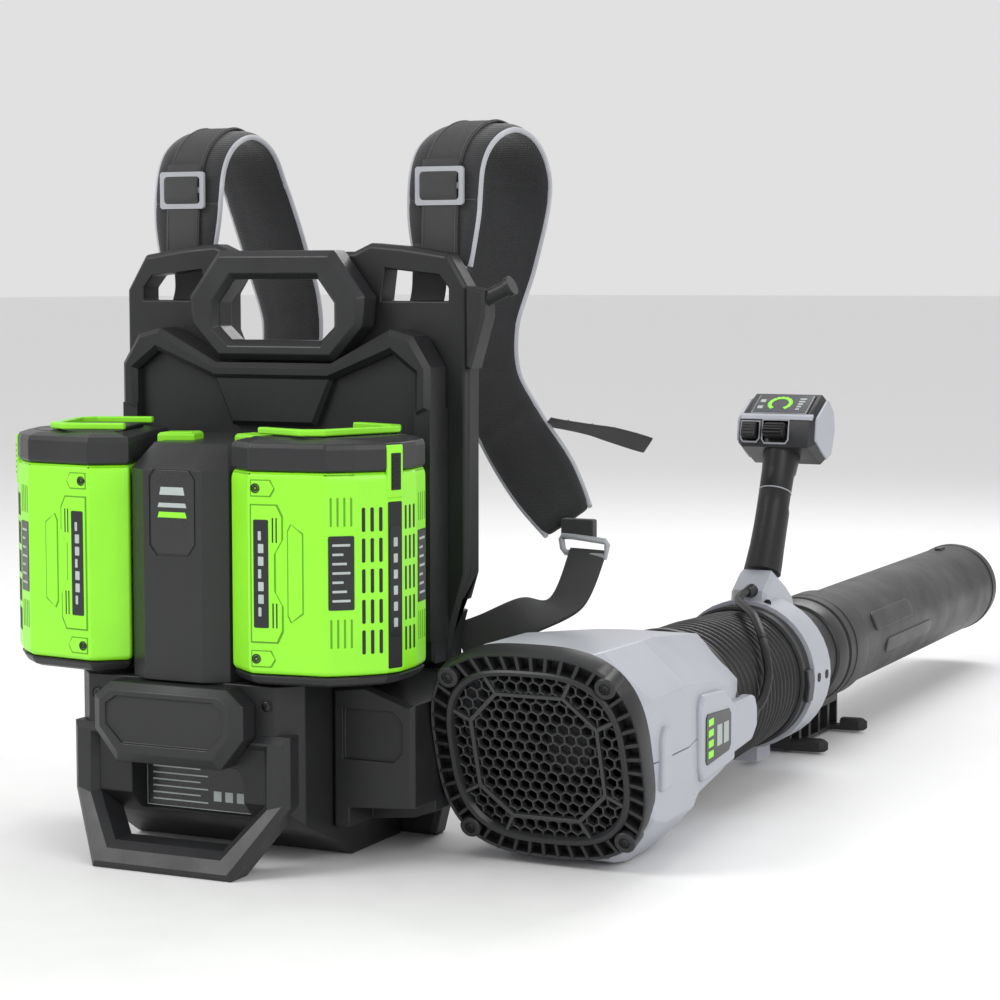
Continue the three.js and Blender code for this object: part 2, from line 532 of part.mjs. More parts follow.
function controlHandle() {
  const group = new THREE.Group();
  group.position.set(AXIS.x, HANDLE.y, HANDLE.z);
  group.rotation.x = THREE.MathUtils.degToRad(-HANDLE.lean);
  root.add(group);
  const top = HANDLE.grip;
  const grip = loft([gripRing(20, 23, 10, -4), gripRing(18, 21, 60, 0), gripRing(17.5, 22, 100), gripRing(19, 24, top)])
    .subtract(box(-7.3, 7.3, 5, 40, 84, 124));
  add(group, "control_grip", grip, rubber);
  const headSide = [[-34, top + 30], [-27, top + 3], [24, top + 3], [38, top + 16], [38, top + 50], [22, top + 70],
    [-4, top + 75], [-33, top + 36]];
  const leverWell = box(-14, 14, -50, -25, top + 8, top + 31);
  const buttonWell = box(-38.5, -19, -50, -25, top + 9, top + 29);
  const head = plateYZ(headSide, -44, 44, 6).subtract(leverWell).subtract(buttonWell)
    .subtract(solid(new THREE.BoxGeometry(66, 40, 3)).rotate([53.5, 0, 0]).translate([0, -18.5, top + 55.5]));
  add(group, "control_head", head, greyShell);
  add(group, "display", solid(new THREE.BoxGeometry(65, 39, 2)).rotate([53.5, 0, 0]).translate([0, -18.9, top + 55.8]), glass);
  add(group, "boost_button", box(-37, -20.5, -40, -28, top + 11, top + 27), rubber);
  const lever = plateYZ([[-29, top + 12], [-40, top + 12], [-43, top + 18], [-36, top + 29], [-29, top + 29]], -12.5, 12.5, 2);
  add(group, "cruise_lever", lever, rubber);
  const trigger = plateYZ([[12, 87], [24, 88], [31, 96], [28, 121], [14, 121]], -6.5, 6.5, 1.5);
  add(group, "trigger", trigger, greenShell);
}

// Lead from the fan housing to the control handle, round the outside of the hose
const LEAD_REAR = [[380, 303, 96], [384, 322, 107], [382, 345, 127], [373, 362, 148], [365.6, 374.4, 158.4]];
const LEAD_FRONT = [[365.1, 375, 159], [359, 385, 166], [343, 410, 178], [323, 438, 183.5], [308, 462, 186],
  [304, 485, 190], [304, 511.6, 190]];
function lead(points, steps) {
  const path = new THREE.CatmullRomCurve3(points.map(([x, y, z]) => new THREE.Vector3(x, y, z)));
  const section = new THREE.Shape();
  for (let i = 0; i < 8; i++) {
    const angle = (2 * Math.PI * i) / 8;
    section[i ? "lineTo" : "moveTo"](4.5 * Math.cos(angle), 4.5 * Math.sin(angle));
  }
  return new THREE.ExtrudeGeometry(section, { steps, bevelEnabled: false, extrudePath: path });
}

add(root, "base_housing", baseHousing(), blackShell);
add(root, "base_front_cover", baseFrontCover(), blackShell);
add(root, "lower_handle", lowerHandle(), blackShell);
add(root, "side_arm", sideArm(), blackShell);
add(root, "harness_frame", harnessFrame(), blackShell);
add(root, "rear_cover", rearCover(), blackShell);
add(root, "carry_handle", carryHandle(), blackShell);
add(root, "battery_post", batteryPost(), blackShell);
add(root, "release_button_left", releaseButton(-1), greenShell);
add(root, "release_button_right", releaseButton(1), greenShell);
add(root, "terminal_dock", terminalDock(), blackShell);
add(root, "control_module", controlModule(), steel);
add(root, "hanger_peg", hangerPeg(), blackShell);
harness();
battery(-1, "left");
battery(1, "right");
fanUnit();
tubeUnit();
controlHandle();
add(root, "control_lead_rear", lead(LEAD_REAR, 6), rubber);
add(root, "control_lead_front", lead(LEAD_FRONT, 12), rubber);

export default root;
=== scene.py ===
import bpy, bmesh, math
from math import radians, sin, cos, pi
from mathutils import Matrix, Vector


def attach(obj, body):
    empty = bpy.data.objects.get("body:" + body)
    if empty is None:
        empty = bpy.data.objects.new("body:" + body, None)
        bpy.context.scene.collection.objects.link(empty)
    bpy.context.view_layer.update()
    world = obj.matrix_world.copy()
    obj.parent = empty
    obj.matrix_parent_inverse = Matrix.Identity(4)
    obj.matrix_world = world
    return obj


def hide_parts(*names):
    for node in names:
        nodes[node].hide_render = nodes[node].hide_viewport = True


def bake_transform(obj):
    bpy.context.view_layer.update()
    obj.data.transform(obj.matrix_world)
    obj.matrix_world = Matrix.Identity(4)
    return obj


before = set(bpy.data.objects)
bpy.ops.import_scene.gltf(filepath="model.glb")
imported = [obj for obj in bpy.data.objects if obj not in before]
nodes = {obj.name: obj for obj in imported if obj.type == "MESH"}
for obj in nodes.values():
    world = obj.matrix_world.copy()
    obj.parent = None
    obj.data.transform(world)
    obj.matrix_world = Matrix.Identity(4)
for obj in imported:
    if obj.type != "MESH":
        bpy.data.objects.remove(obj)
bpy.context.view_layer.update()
MM = 0.001

# shared sizes of the object, in millimetres and degrees
AXIS_X, AXIS_Z = 300, 101  # the axis of the fan, hose and tubes
BATTERY_X, BATTERY_Y, BATTERY_SPLAY = 114.3, -72.5, 20
GRILLE_TILT = 18
HANDLE_LEAN = 24.5
TOP = 142  # height of the grip, in the handle's own frame
DISPLAY_TILT = 53.5
SEAM_ROOM = 0.35  # half the gap on the fan housing's split line
CLOTH_FRAMES, CLOTH_PRESSURE, MOST_SWELL, VOXEL = 20, 4.0, 0.006, 0.006

# ---------------------------------------------------------------- camera
cam_data = bpy.data.cameras.new("camera")
cam_data.lens, cam_data.sensor_width, cam_data.clip_end = 89.784, 36, 400
cam = bpy.data.objects.new("camera", cam_data)
bpy.context.scene.collection.objects.link(cam)
AZ, PITCH = radians(25.2), radians(4.9955)
look = Vector((-sin(AZ) * cos(PITCH), cos(AZ) * cos(PITCH), -sin(PITCH)))
cam.location = (1.190137, -2.002237, 0.519518)
cam.rotation_euler = look.to_track_quat("-Z", "Y").to_euler()
bpy.context.scene.camera = cam


# ---------------------------------------------------------------- materials
def node_material(name, color, rough, metallic=0.0, grain=900.0, bump=0.06, vary=0.12, sheen=0.0,
                  coat=0.0, spec=0.5):
    """Moulded surface: mottled colour, uneven gloss and a fine grain."""
    m = bpy.data.materials.new(name)
    m.use_nodes = True
    nt = m.node_tree
    b = nt.nodes["Principled BSDF"]
    b.inputs["Metallic"].default_value = metallic
    b.inputs["Specular IOR Level"].default_value = spec
    if sheen:
        b.inputs["Sheen Weight"].default_value = sheen
        b.inputs["Sheen Roughness"].default_value = 0.5
    if coat:
        b.inputs["Coat Weight"].default_value = coat
        b.inputs["Coat Roughness"].default_value = 0.2
    tc = nt.nodes.new("ShaderNodeTexCoord")
    big = nt.nodes.new("ShaderNodeTexNoise")
    big.inputs["Scale"].default_value = 22
    big.inputs["Detail"].default_value = 6
    nt.links.new(tc.outputs["Object"], big.inputs["Vector"])
    ramp = nt.nodes.new("ShaderNodeValToRGB")
    lo = [c * (1 - vary) for c in color]
    hi = [min(1, c * (1 + vary)) for c in color]
    ramp.color_ramp.elements[0].color = (*lo, 1)
    ramp.color_ramp.elements[1].color = (*hi, 1)
    ramp.color_ramp.elements[0].position, ramp.color_ramp.elements[1].position = 0.3, 0.72
    nt.links.new(big.outputs["Fac"], ramp.inputs["Fac"])
    nt.links.new(ramp.outputs["Color"], b.inputs["Base Color"])
    fine = nt.nodes.new("ShaderNodeTexNoise")
    fine.inputs["Scale"].default_value = grain
    fine.inputs["Detail"].default_value = 3
    nt.links.new(tc.outputs["Object"], fine.inputs["Vector"])
    rr = nt.nodes.new("ShaderNodeMapRange")
    rr.inputs["To Min"].default_value, rr.inputs["To Max"].default_value = rough - 0.08, rough + 0.1
    mix = nt.nodes.new("ShaderNodeMath")
    mix.operation = "MULTIPLY"
    nt.links.new(big.outputs["Fac"], mix.inputs[0])
    nt.links.new(fine.outputs["Fac"], mix.inputs[1])
    rr.inputs["From Min"].default_value, rr.inputs["From Max"].default_value = 0.12, 0.4
    nt.links.new(mix.outputs[0], rr.inputs["Value"])
    nt.links.new(rr.outputs["Result"], b.inputs["Roughness"])
    bp = nt.nodes.new("ShaderNodeBump")
    bp.inputs["Strength"].default_value = bump
    bp.inputs["Distance"].default_value = 0.0006
    nt.links.new(fine.outputs["Fac"], bp.inputs["Height"])
    nt.links.new(bp.outputs["Normal"], b.inputs["Normal"])
    return m


def weave_material(name, color, scale, strength=0.5, sheen=0.25, rough=0.9, uv=False):
    """Woven cloth: two crossed wave bands make the weave, with a slight mottling in the yarn's colour."""
    m = node_material(name, color, rough, grain=700, bump=0.2, vary=0.18, sheen=sheen)
    nt = m.node_tree
    b = nt.nodes["Principled BSDF"]
    tc = [n for n in nt.nodes if n.type == "TEX_COORD"][0]
    old = [n for n in nt.nodes if n.type == "BUMP"][0]
    waves = []
    for d in ("X", "Y"):
        w = nt.nodes.new("ShaderNodeTexWave")
        w.bands_direction = d if uv else ("DIAGONAL" if d == "X" else "Z")
        w.inputs["Scale"].default_value = scale if d == "X" else scale * 0.8
        w.inputs["Distortion"].default_value = 0.6
        nt.links.new(tc.outputs["UV" if uv else "Object"], w.inputs["Vector"])
        waves.append(w)
    mul = nt.nodes.new("ShaderNodeMath")
    mul.operation = "MULTIPLY"
    nt.links.new(waves[0].outputs["Fac"], mul.inputs[0])
    nt.links.new(waves[1].outputs["Fac"], mul.inputs[1])
    bp = nt.nodes.new("ShaderNodeBump")
    bp.inputs["Strength"].default_value = strength
    bp.inputs["Distance"].default_value = 0.0008
    nt.links.new(mul.outputs[0], bp.inputs["Height"])
    nt.links.new(old.outputs["Normal"], bp.inputs["Normal"])
    nt.links.new(bp.outputs["Normal"], b.inputs["Normal"])
    return m


BLACK = node_material("black_moulded", (0.0165, 0.0168, 0.018), 0.44, bump=0.1, vary=0.12, spec=0.36)
BLACK2 = node_material("black_satin", (0.022, 0.0224, 0.024), 0.38, bump=0.07, vary=0.08, spec=0.38)
# painted shade: a near-black, darker than the black plastic, for recesses and openings where only shade
# falls: screw wells, slots, vents, the channel, the latch window and the terminal dock
SHADE_BLACK = node_material("deep_black", (0.006, 0.006, 0.0065), 0.6)
# partly painted light: the grille's black plastic is made lighter than the other blacks, standing for light
# on the fronts of its walls
GRILLE_LIT_BLACK = node_material("grille_black", (0.034, 0.0345, 0.036), 0.34, bump=0.04, vary=0.05)
TUBE = node_material("tube_black", (0.014, 0.0142, 0.0155), 0.42, bump=0.04, vary=0.03, spec=0.28)
GREY = node_material("grey_shell", (0.40, 0.412, 0.46), 0.38, bump=0.05, vary=0.03)
GREEN = node_material("lime_shell", (0.28, 0.84, 0.02), 0.38, bump=0.05, vary=0.03, coat=0.15)
# painted shade: a darker lime for the shade in grooves and slots of the lime shell
GREEN_SHADE = node_material("lime_groove", (0.10, 0.33, 0.008), 0.55, bump=0.05, vary=0.06)
RUBBER = node_material("rubber", (0.010, 0.010, 0.011), 0.42, bump=0.18, grain=420, spec=0.36)
LABEL = node_material("label_film", (0.010, 0.012, 0.013), 0.28, bump=0.02)
MARK = node_material("label_marks", (0.42, 0.47, 0.45), 0.5, bump=0.02)
PLATE = node_material("rating_film", (0.022, 0.022, 0.024), 0.3, bump=0.02)
METAL = node_material("screw_steel", (0.32, 0.32, 0.34), 0.32, metallic=1.0, grain=1500, bump=0.05)
SCREW = node_material("screw_black", (0.055, 0.055, 0.058), 0.35, metallic=1.0, grain=1500, bump=0.05)
BUCKLE = node_material("buckle_grey", (0.36, 0.37, 0.395), 0.34, bump=0.03, vary=0.06)
PIPING = weave_material("piping_grey", (0.42, 0.43, 0.46), 260, 0.25)
CLOTH = weave_material("pad_cloth", (0.021, 0.0215, 0.0235), 190, 0.55)
WEB = weave_material("webbing", (0.026, 0.026, 0.028), 24, 0.8, uv=True)
THREAD = weave_material("thread", (0.06, 0.06, 0.064), 300, 0.3)
GLASS = node_material("display_glass", (0.030, 0.034, 0.040), 0.12, bump=0.0, coat=0.6)


# ---------------------------------------------------------------- mesh helpers (millimetres in, metres out)
def finish_mesh(name, verts, faces, mat, body, slot=None, replaces=(), matrix=None, bevel=0.0, angle=25,
                smooth=40, solid=0.0, uvs=None, parentless=False, segs=2):
    me = bpy.data.meshes.new(name)
    me.from_pydata([tuple(c * MM for c in v) for v in verts], [], faces)
    me.materials.append(mat)
    if uvs:
        layer = me.uv_layers.new(name="uv")
        for loop in me.loops:
            layer.data[loop.index].uv = uvs[loop.vertex_index]
    if matrix is not None:
        me.transform(matrix)
    bm = bmesh.new()
    bm.from_mesh(me)
    bmesh.ops.recalc_face_normals(bm, faces=bm.faces)
    bm.to_mesh(me)
    bm.free()
    ob = bpy.data.objects.new(name, me)
    bpy.context.scene.collection.objects.link(ob)
    shade(ob, smooth)
    if solid:
        s = ob.modifiers.new("wall", "SOLIDIFY")
        s.thickness, s.offset = solid * MM, -1
    if bevel:
        add_bevel(ob, bevel, angle, segs)
    if not parentless:
        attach(ob, body)
    if replaces:
        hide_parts(*replaces)
    return ob


def shade(ob, angle):
    me = ob.data
    if not len(me.polygons):
        return
    me.polygons.foreach_set("use_smooth", [True] * len(me.polygons))
    try:
        me.set_sharp_from_angle(angle=radians(angle))
    except AttributeError:
        pass


def add_bevel(ob, width, angle=30, segs=2):
    b = ob.modifiers.new("bevel", "BEVEL")
    b.width, b.segments, b.limit_method, b.angle_limit = width * MM, segs, "ANGLE", radians(angle)
    b.harden_normals = True
    b.use_clamp_overlap = True


def prism(name, pts, z0, z1, mat, body, plane="XY", **kw):
    """A prism of an outline. plane XY runs along z, XZ along y, YZ along x."""
    n = len(pts)
    put = {"XY": lambda a, b, c: (a, b, c), "XZ": lambda a, b, c: (a, c, b), "YZ": lambda a, b,
           c: (c, a, b)}[plane]
    verts = [put(a, b, z0) for a, b in pts] + [put(a, b, z1) for a, b in pts]
    faces = [tuple(range(n))[::-1], tuple(range(n, 2 * n))] + [(i, (i + 1) % n, n + (i + 1) % n, n + i)
            for i in range(n)]
    return finish_mesh(name, verts, faces, mat, body, **kw)


def block(name, x0, x1, y0, y1, z0, z1, mat, body, **kw):
    return prism(name, [(x0, y0), (x1, y0), (x1, y1), (x0, y1)], z0, z1, mat, body, **kw)


def loft(name, rings, mat, body, caps=True, closed=True, **kw):
    n = len(rings[0])
    verts = [p for r in rings for p in r]
    span = n if closed else n - 1
    faces = [(i * n + j, i * n + (j + 1) % n, (i + 1) * n + (j + 1) % n, (i + 1) * n + j)
             for i in range(len(rings) - 1) for j in range(span)]
    if caps:
        faces += [tuple(range(n))[::-1], tuple(range((len(rings) - 1) * n, len(rings) * n))]
    return finish_mesh(name, verts, faces, mat, body, **kw)


def revolve(name, profile, mat, body, seg=96, **kw):
    """Turns a closed (radius, y) profile about the y direction."""
    n = len(profile)
    verts = [(AXIS_X + r * cos(2 * pi * k / seg), y, AXIS_Z + r * sin(2 * pi * k / seg))
             for k in range(seg) for r, y in profile]
    faces = [(k * n + i, k * n + (i + 1) % n, ((k + 1) % seg) * n + (i + 1) % n, ((k + 1) % seg) * n + i)
             for k in range(seg) for i in range(n)]
    return finish_mesh(name, verts, faces, mat, body, **kw)


def spline(points, n):
    """Catmull-Rom through tuples of any length."""
    out = []
    m = len(points) - 1
    for i in range(n + 1):
        t = i / n * m
        k = min(int(t), m - 1)
        f = t - k
        p0, p1, p2, p3 = (points[max(k - 1, 0)], points[k], points[k + 1], points[min(k + 2, m)])
        out.append(tuple(0.5 * (2 * b + (c - a) * f + (2 * a - 5 * b + 4 * c - d) * f * f
                                + (3 * b - a - 3 * c + d) * f ** 3)
                         for a, b, c, d in zip(p0, p1, p2, p3)))
    return out


def tube(name, path, radius, mat, body, seg=12, closed=False, **kw):
    """A round section swept along points, its frame carried along without twist."""
    pts = [Vector(p) for p in path]
    n = len(pts)
    rings, normal = [], None
    for i, p in enumerate(pts):
        a = pts[(i - 1) % n] if closed or i else p
        b = pts[(i + 1) % n] if closed or i < n - 1 else p
        t = (b - a).normalized()
        if normal is None:
            normal = t.orthogonal().normalized()
        normal = (normal - t * normal.dot(t)).normalized()
        side = t.cross(normal)
        r = radius(i / max(n - 1, 1)) if callable(radius) else radius
        rings.append([tuple(p + r * (normal * cos(2 * pi * k / seg) + side * sin(2 * pi * k / seg)))
                      for k in range(seg)])
    if closed:
        rings.append(rings[0])
    return loft(name, rings, mat, body, caps=not closed, **kw)


def screw(name, at, normal, r, body, matrix=None):
    """A recessed screw: a near-black well as painted shade, steel head and a six-lobed drive."""
    z = Vector(normal).normalized()
    x = z.orthogonal().normalized()
    y = z.cross(x)
    m = Matrix((x, y, z)).transposed().to_4x4()
    m.translation = Vector(at) * MM
    if matrix is not None:
        m = matrix @ m
    ring = lambda rad, h, k=20: [(rad * cos(2 * pi * i / k), rad * sin(2 * pi * i / k), h)
                                 for i in range(k)]
    loft(name + "_well", [ring(r * 1.5, -0.6), ring(r * 1.5, 0.35), ring(r * 1.2, 0.35),
                          ring(r * 1.1, -0.3)], SHADE_BLACK, body,
         matrix=m, caps=True)
    star = [(r * 0.42 * (1 + 0.25 * cos(6 * a)) * cos(a), r * 0.42 * (1 + 0.25 * cos(6 * a)) * sin(a))
            for a in
            [2 * pi * i / 24 for i in range(24)]]
    rings = [ring(r, -0.3, 24), ring(r, 0.1, 24), ring(r * 0.85, 0.45, 24), [(a, b, 0.45) for a, b in star],
             [(a * 0.8, b * 0.8, -0.2) for a, b in star]]
    loft(name + "_head", rings, SCREW, body, matrix=m)


# ---------------------------------------------------------------- CAD nodes that stay
def keep(name, mat, bevel=1.2, angle=28):
    ob = nodes[name]
    me = ob.data
    if "custom_normal" in me.attributes:
        me.attributes.remove(me.attributes["custom_normal"])
    me.materials.clear()
    me.materials.append(mat)
    w = ob.modifiers.new("weld", "WELD")
    w.merge_threshold = 1e-5
    me.polygons.foreach_set("use_smooth", [True] * len(me.polygons))
    if bevel:
        d = ob.modifiers.new("planar", "DECIMATE")
        d.decimate_type, d.angle_limit = "DISSOLVE", radians(1.0)
        add_bevel(ob, bevel, angle, 3)
    return ob


for n, mat, bevel in [
    ("base_housing", BLACK, 2.0), ("base_front_cover", BLACK2, 2.0), ("lower_handle", BLACK2, 2.2),
    ("side_arm", BLACK, 1.8),
    ("harness_frame", BLACK, 1.8), ("rear_cover", BLACK, 1.8), ("carry_handle", BLACK2, 2.4),
    ("battery_post", BLACK2, 2.0),
    ("release_button_left", GREEN, 1.6), ("release_button_right", GREEN, 1.6), ("terminal_dock", SHADE_BLACK, 1.0),
    ("control_module", METAL, 0.8), ("hanger_peg", BLACK, 1.0), ("battery_left_cells", METAL, 1.0),
    ("battery_right_cells", METAL, 1.0), ("inlet_duct", BLACK, 0.5), ("impeller", BLACK2, 0.5),
    ("motor_mount", BLACK, 0.5),
    ("motor", METAL, 1.0), ("hose_clamp_latch", BLACK2, 1.0), ("handle_ring", GREY, 1.5),
    ("accessory_clip", BLACK, 1.0),
    ("control_head", BLACK2, 2.6), ("boost_button", RUBBER, 1.4), ("cruise_lever", RUBBER, 1.2),
    ("trigger", GREEN, 1.2),
    ("display", GLASS, 0.6), ("battery_left_latch", GREEN, 1.2), ("battery_right_latch", GREEN, 1.2),
    ("battery_left_bail", GREEN, 1.6), ("battery_right_bail", GREEN, 1.6), ("hose_clamp_band", BLACK, 1.0),
]:
    keep(n, mat, bevel)

# ---------------------------------------------------------------- battery packs
HALF = [(-36, 82), (0, 92), (63, 59), (77, 35), (87, 9)]
LOOP = HALF + [(u, -v) for u, v in reversed(HALF)]


def inset_loop(d):
    """The pack's outline moved in by d, each side kept parallel."""
    pts = [Vector(p) for p in LOOP]
    out = []
    n = len(pts)
    for i in range(n):
        a, b, c = pts[i - 1], pts[i], pts[(i + 1) % n]
        e1, e2 = (b - a).normalized(), (c - b).normalized()
        n1, n2 = Vector((e1.y, -e1.x)), Vector((e2.y, -e2.x))
        m = (n1 + n2) / (1 + n1.dot(n2))
        out.append(tuple(b - m * d))
    return out


def ring_at(d, z):
    return [(u, v, z) for u, v in inset_loop(d)]


def facet(i, j):
    """Frame of the wall between outline corners i and j: x along the wall, y up, z out."""
    a, b = Vector((*LOOP[i], 0)), Vector((*LOOP[j], 0))
    t = (b - a).normalized()
    n = Vector((-t.y, t.x, 0))
    mid = (a + b) / 2
    if n.dot(mid - Vector((25, 0, 0))) < 0:
        n = -n
    t = Vector((0, 0, 1)).cross(n)
    m = Matrix((t, Vector((0, 0, 1)), n)).transposed().to_4x4()
    m.translation = mid * MM
    return m, (b - a).length / 2


for side, s in (("left", -1), ("right", 1)):
    body = f"battery_{side}"
    place = Matrix.Translation((s * BATTERY_X * MM, BATTERY_Y * MM,
                                0)) @ Matrix.Rotation(radians(-BATTERY_SPLAY if s > 0
                                        else 180 + BATTERY_SPLAY), 4, "Z")
    P = f"pack_{side}_"
    loft(P + "shell", [ring_at(-3.5, 181), ring_at(-0.4, 184), ring_at(-0.2, 190), ring_at(-0.2, 349),
                       ring_at(-0.6, 353),
                       ring_at(-2.2, 357)], GREEN, body, matrix=place, bevel=2.6, angle=8, segs=3,
                       slot="green_plastic",
         replaces=[f"battery_{side}_shell"])
    loft(P + "tray", [ring_at(-11, 171), ring_at(-5, 173.5), ring_at(-1.5, 179), ring_at(-2.2, 180.6)],
         BLACK2, body,
         matrix=place, bevel=1.4, angle=8, slot="black_plastic", replaces=[f"battery_{side}_tray"])
    loft(P + "cap", [ring_at(-2.4, 357.4), ring_at(-0.4, 359.5), ring_at(-0.4, 377), ring_at(-2, 381.5),
                     ring_at(-11, 384.5),
                     ring_at(-15, 384.8), ring_at(-17, 386)], BLACK2, body, matrix=place, bevel=1.8,
                     angle=8, segs=3,
         slot="black_plastic", replaces=[f"battery_{side}_cap"])
    # walls: 0 near post, 1 broad, 2 label, 3 vents, 4 outer strip, and the same beyond it
    for k, (i, j) in enumerate([(0, 1), (1, 2), (2, 3), (3, 4), (4, 5), (5, 6), (6, 7), (7, 8), (8, 9)]):
        m, half = facet(i, j)
        m = place @ m
        f = 1 if k < 4 else -1
        q = P + f"wall{k}_"
        plate = lambda name, x0, x1, z0, z1, mat, h=0.5, c=3.0: prism(
            q + name, [(x0 + c, z0), (x1 - c, z0), (x1, z0 + c), (x1, z1 - c), (x1 - c, z1), (x0 + c, z1),
                       (x0, z1 - c), (x0, z0 + c)],
            -1.2, h, mat, body, matrix=m, bevel=0.35, angle=30)

        def panel(name, pts, h=0.9, rim=1.3):
            """A raised panel with a groove round it, the groove's shade painted as a darker lime plate
            beneath.
            """
            cx = sum(a for a, _ in pts) / len(pts)
            cz = sum(b for _, b in pts) / len(pts)
            grow = [(a + rim * (1 if a > cx else -1), b + rim * (1 if b > cz else -1)) for a, b in pts]
            # painted shade: a darker lime plate, a little larger than the panel, shows as the dark groove
            prism(q + name + "_groove", grow, -1.2, 0.12, GREEN_SHADE, body, matrix=m, bevel=0.1)
            prism(q + name, pts, -1.0, h, GREEN, body, matrix=m, bevel=0.6, angle=20, segs=3)

        if k in (1, 7):
            e = half if k == 1 else -half  # the corner beside the post
            w = -1 if k == 1 else 1
            at = lambda d, z: (e + w * d, z)
            panel("hourglass", [at(3, 328), at(26, 328), at(31, 318), at(31, 298), at(24, 286),
                                at(24, 254), at(31, 242),
                                at(31, 220), at(26, 210), at(3, 210)])
            x0, x1 = sorted((e + w * 5, e + w * 19))
            plate("label", x0, x1, 222, 316, LABEL, 1.25, 1.0)
            for r_ in range(7):
                x_ = (x0 + x1) / 2
                plate(f"mark{r_}", x_ - 2.6, x_ + (2.6 if r_ % 3 else 0.4), 232 + r_ * 11, 240 + r_ * 11,
                      MARK, 1.4, 0.4)
            # slots: near-black plates as painted shade in the openings
            for z0, z1 in ((222, 244), (296, 318)):
                for c_ in range(2):
                    x_ = e + w * (23 + 3.4 * c_)
                    plate(f"slot{c_}_{z0}", x_ - 0.8, x_ + 0.8, z0, z1, SHADE_BLACK, 1.0, 0.5)
            for z_ in (343, 195):
                panel(f"tab{z_}", [at(3, z_ - 6.5), at(20, z_ - 6.5), at(24, z_), at(20, z_ + 6.5),
                                   at(3, z_ + 6.5)], 0.8, 0.9)
                screw(q + f"screw{z_}", (e + w * 7, z_, 1.0), (0, 0, 1), 2.8, body, matrix=m)
            panel("trapezoid", [at(40, 312), at(50, 304), at(50, 236), at(40, 228), at(37, 234),
                                at(37, 306)], 0.7, 0.9)
        if k in (2, 6):
            plate("label", -half + 2.5, half - 2.5, 239, 303, LABEL, 0.4, 1.0)
            for r_ in range(7):
                plate(f"mark{r_}", -half + 6, half - 6 - 3 * (r_ % 3), 246 + r_ * 8, 248.2 + r_ * 8, MARK,
                      0.5, 0.3)
            # slots: darker lime plates as painted shade in the openings
            for z0, z1 in ((206, 231), (311, 336)):
                for c_ in range(4):
                    x_ = -half + 5 + (2 * half - 10) * c_ / 3
                    plate(f"slot{c_}_{z0}", x_ - 0.9, x_ + 0.9, z0, z1, GREEN_SHADE, 0.12, 0.5)
        # vents: near-black plates as painted shade in the openings
        if k in (3, 5):
            for r_ in range(5):
                for c_ in range(3):
                    x_ = -half + 6 + (2 * half - 12) * c_ / 2
                    plate(f"vent{r_}_{c_}", x_ - 1.6, x_ + 1.6, 200 + r_ * 26.5, 221 + r_ * 26.5, SHADE_BLACK,
                          0.15, 0.9)
        if k == 4:
            # the channel is a near-black plate, painted shade for the recess
            plate("channel", -8, 8, 186, 331, SHADE_BLACK, 0.2, 1.0)
            plate("label", -6.2, 6.2, 214, 310, LABEL, 0.7, 1.0)
            for r_ in range(6):
                plate(f"mark{r_}", -2.4, 2.4, 222 + r_ * 14, 230 + r_ * 14, MARK, 0.85, 0.4)
    # the latch's ribbed window: a near-black plate behind the ribs as painted shade
    block(P + "latch_window", 87.6, 88.8, -5.6, 5.6, 341, 373, SHADE_BLACK, f"latch_{side}", matrix=place,
          bevel=0.3)
    for r_ in range(6):
        block(P + f"latch_rib{r_}", 88, 89.6, -5, 5, 343 + 5 * r_, 345.6 + 5 * r_, RUBBER,
              f"latch_{side}", matrix=place, bevel=0.5)
    prism(P + "top_tier", [(-22, 40), (34, 40), (44, 30), (44, -30), (34, -40), (-22, -40)], 385.5, 388.5,
          BLACK, body,
          matrix=place, bevel=1.2)

# ---------------------------------------------------------------- base, post and covers
for sx in (-1, 1):
    screw(f"base_screw_{'l' if sx < 0 else 'r'}", (sx * 88, -140.3, 150), (0, -1, 0), 4.2, "carrier")
OCT = [(17, 355), (22.5, 347), (22.5, 290), (15.5, 280.5), (-15.5, 280.5), (-22.5, 290), (-22.5, 347),
       (-17, 355)]
prism("post_badge", OCT, -149.9, -148.4, PLATE, "carrier", plane="XZ", bevel=0.6)
for i, (w_, z_, h_) in enumerate(((13, 333, 7), (15, 322, 4), (15, 313, 5))):
    prism(f"post_badge_bar{i}", [(-w_, z_), (w_, z_), (w_ - 1.5, z_ + h_), (-w_ + 1.5, z_ + h_)], -150.3,
          -149.6,
          MARK if i < 2 else GREEN, "carrier", plane="XZ", bevel=0.2)
block("rating_border", -51, 61, -117.0, -115.6, 47, 91, MARK, "carrier", bevel=0.4)
block("rating_plate", -50, 60, -117.5, -115.8, 48, 90, PLATE, "carrier", bevel=0.4)
for i in range(6):
    block(f"rating_row{i}", -44, 6 + (i % 2) * 8, -117.8, -117.2, 83 - 6 * i, 84.2 - 6 * i, MARK, "carrier")
for i in range(3):
    block(f"rating_box{i}", 20 + 12 * i, 28 + 12 * i, -117.8, -117.2, 56, 65, MARK, "carrier")

# ---------------------------------------------------------------- fan unit
GR = Matrix.Translation((0.3, -0.036, 0.1025)) @ Matrix.Rotation(radians(GRILLE_TILT), 4, "X")


def octo(h, c):
    return [(h, c), (c, h), (-c, h), (-h, c), (-h, -c), (-c, -h), (c, -h), (h, -c)]


def oct_ring(h, c, y):
    return [(a, y, b) for a, b in octo(h, c)]


def squircle(h, a, power=3.0):
    """A point of the grille's rounded-square outline, in direction a."""
    reach = h * (abs(cos(a)) ** power + abs(sin(a)) ** power) ** (-1 / power)
    return Vector((reach * cos(a), reach * sin(a)))


def squircle_ring(h, y, n=112):
    return [(squircle(h, 2 * pi * k / n).x, y, squircle(h, 2 * pi * k / n).y) for k in range(n)]


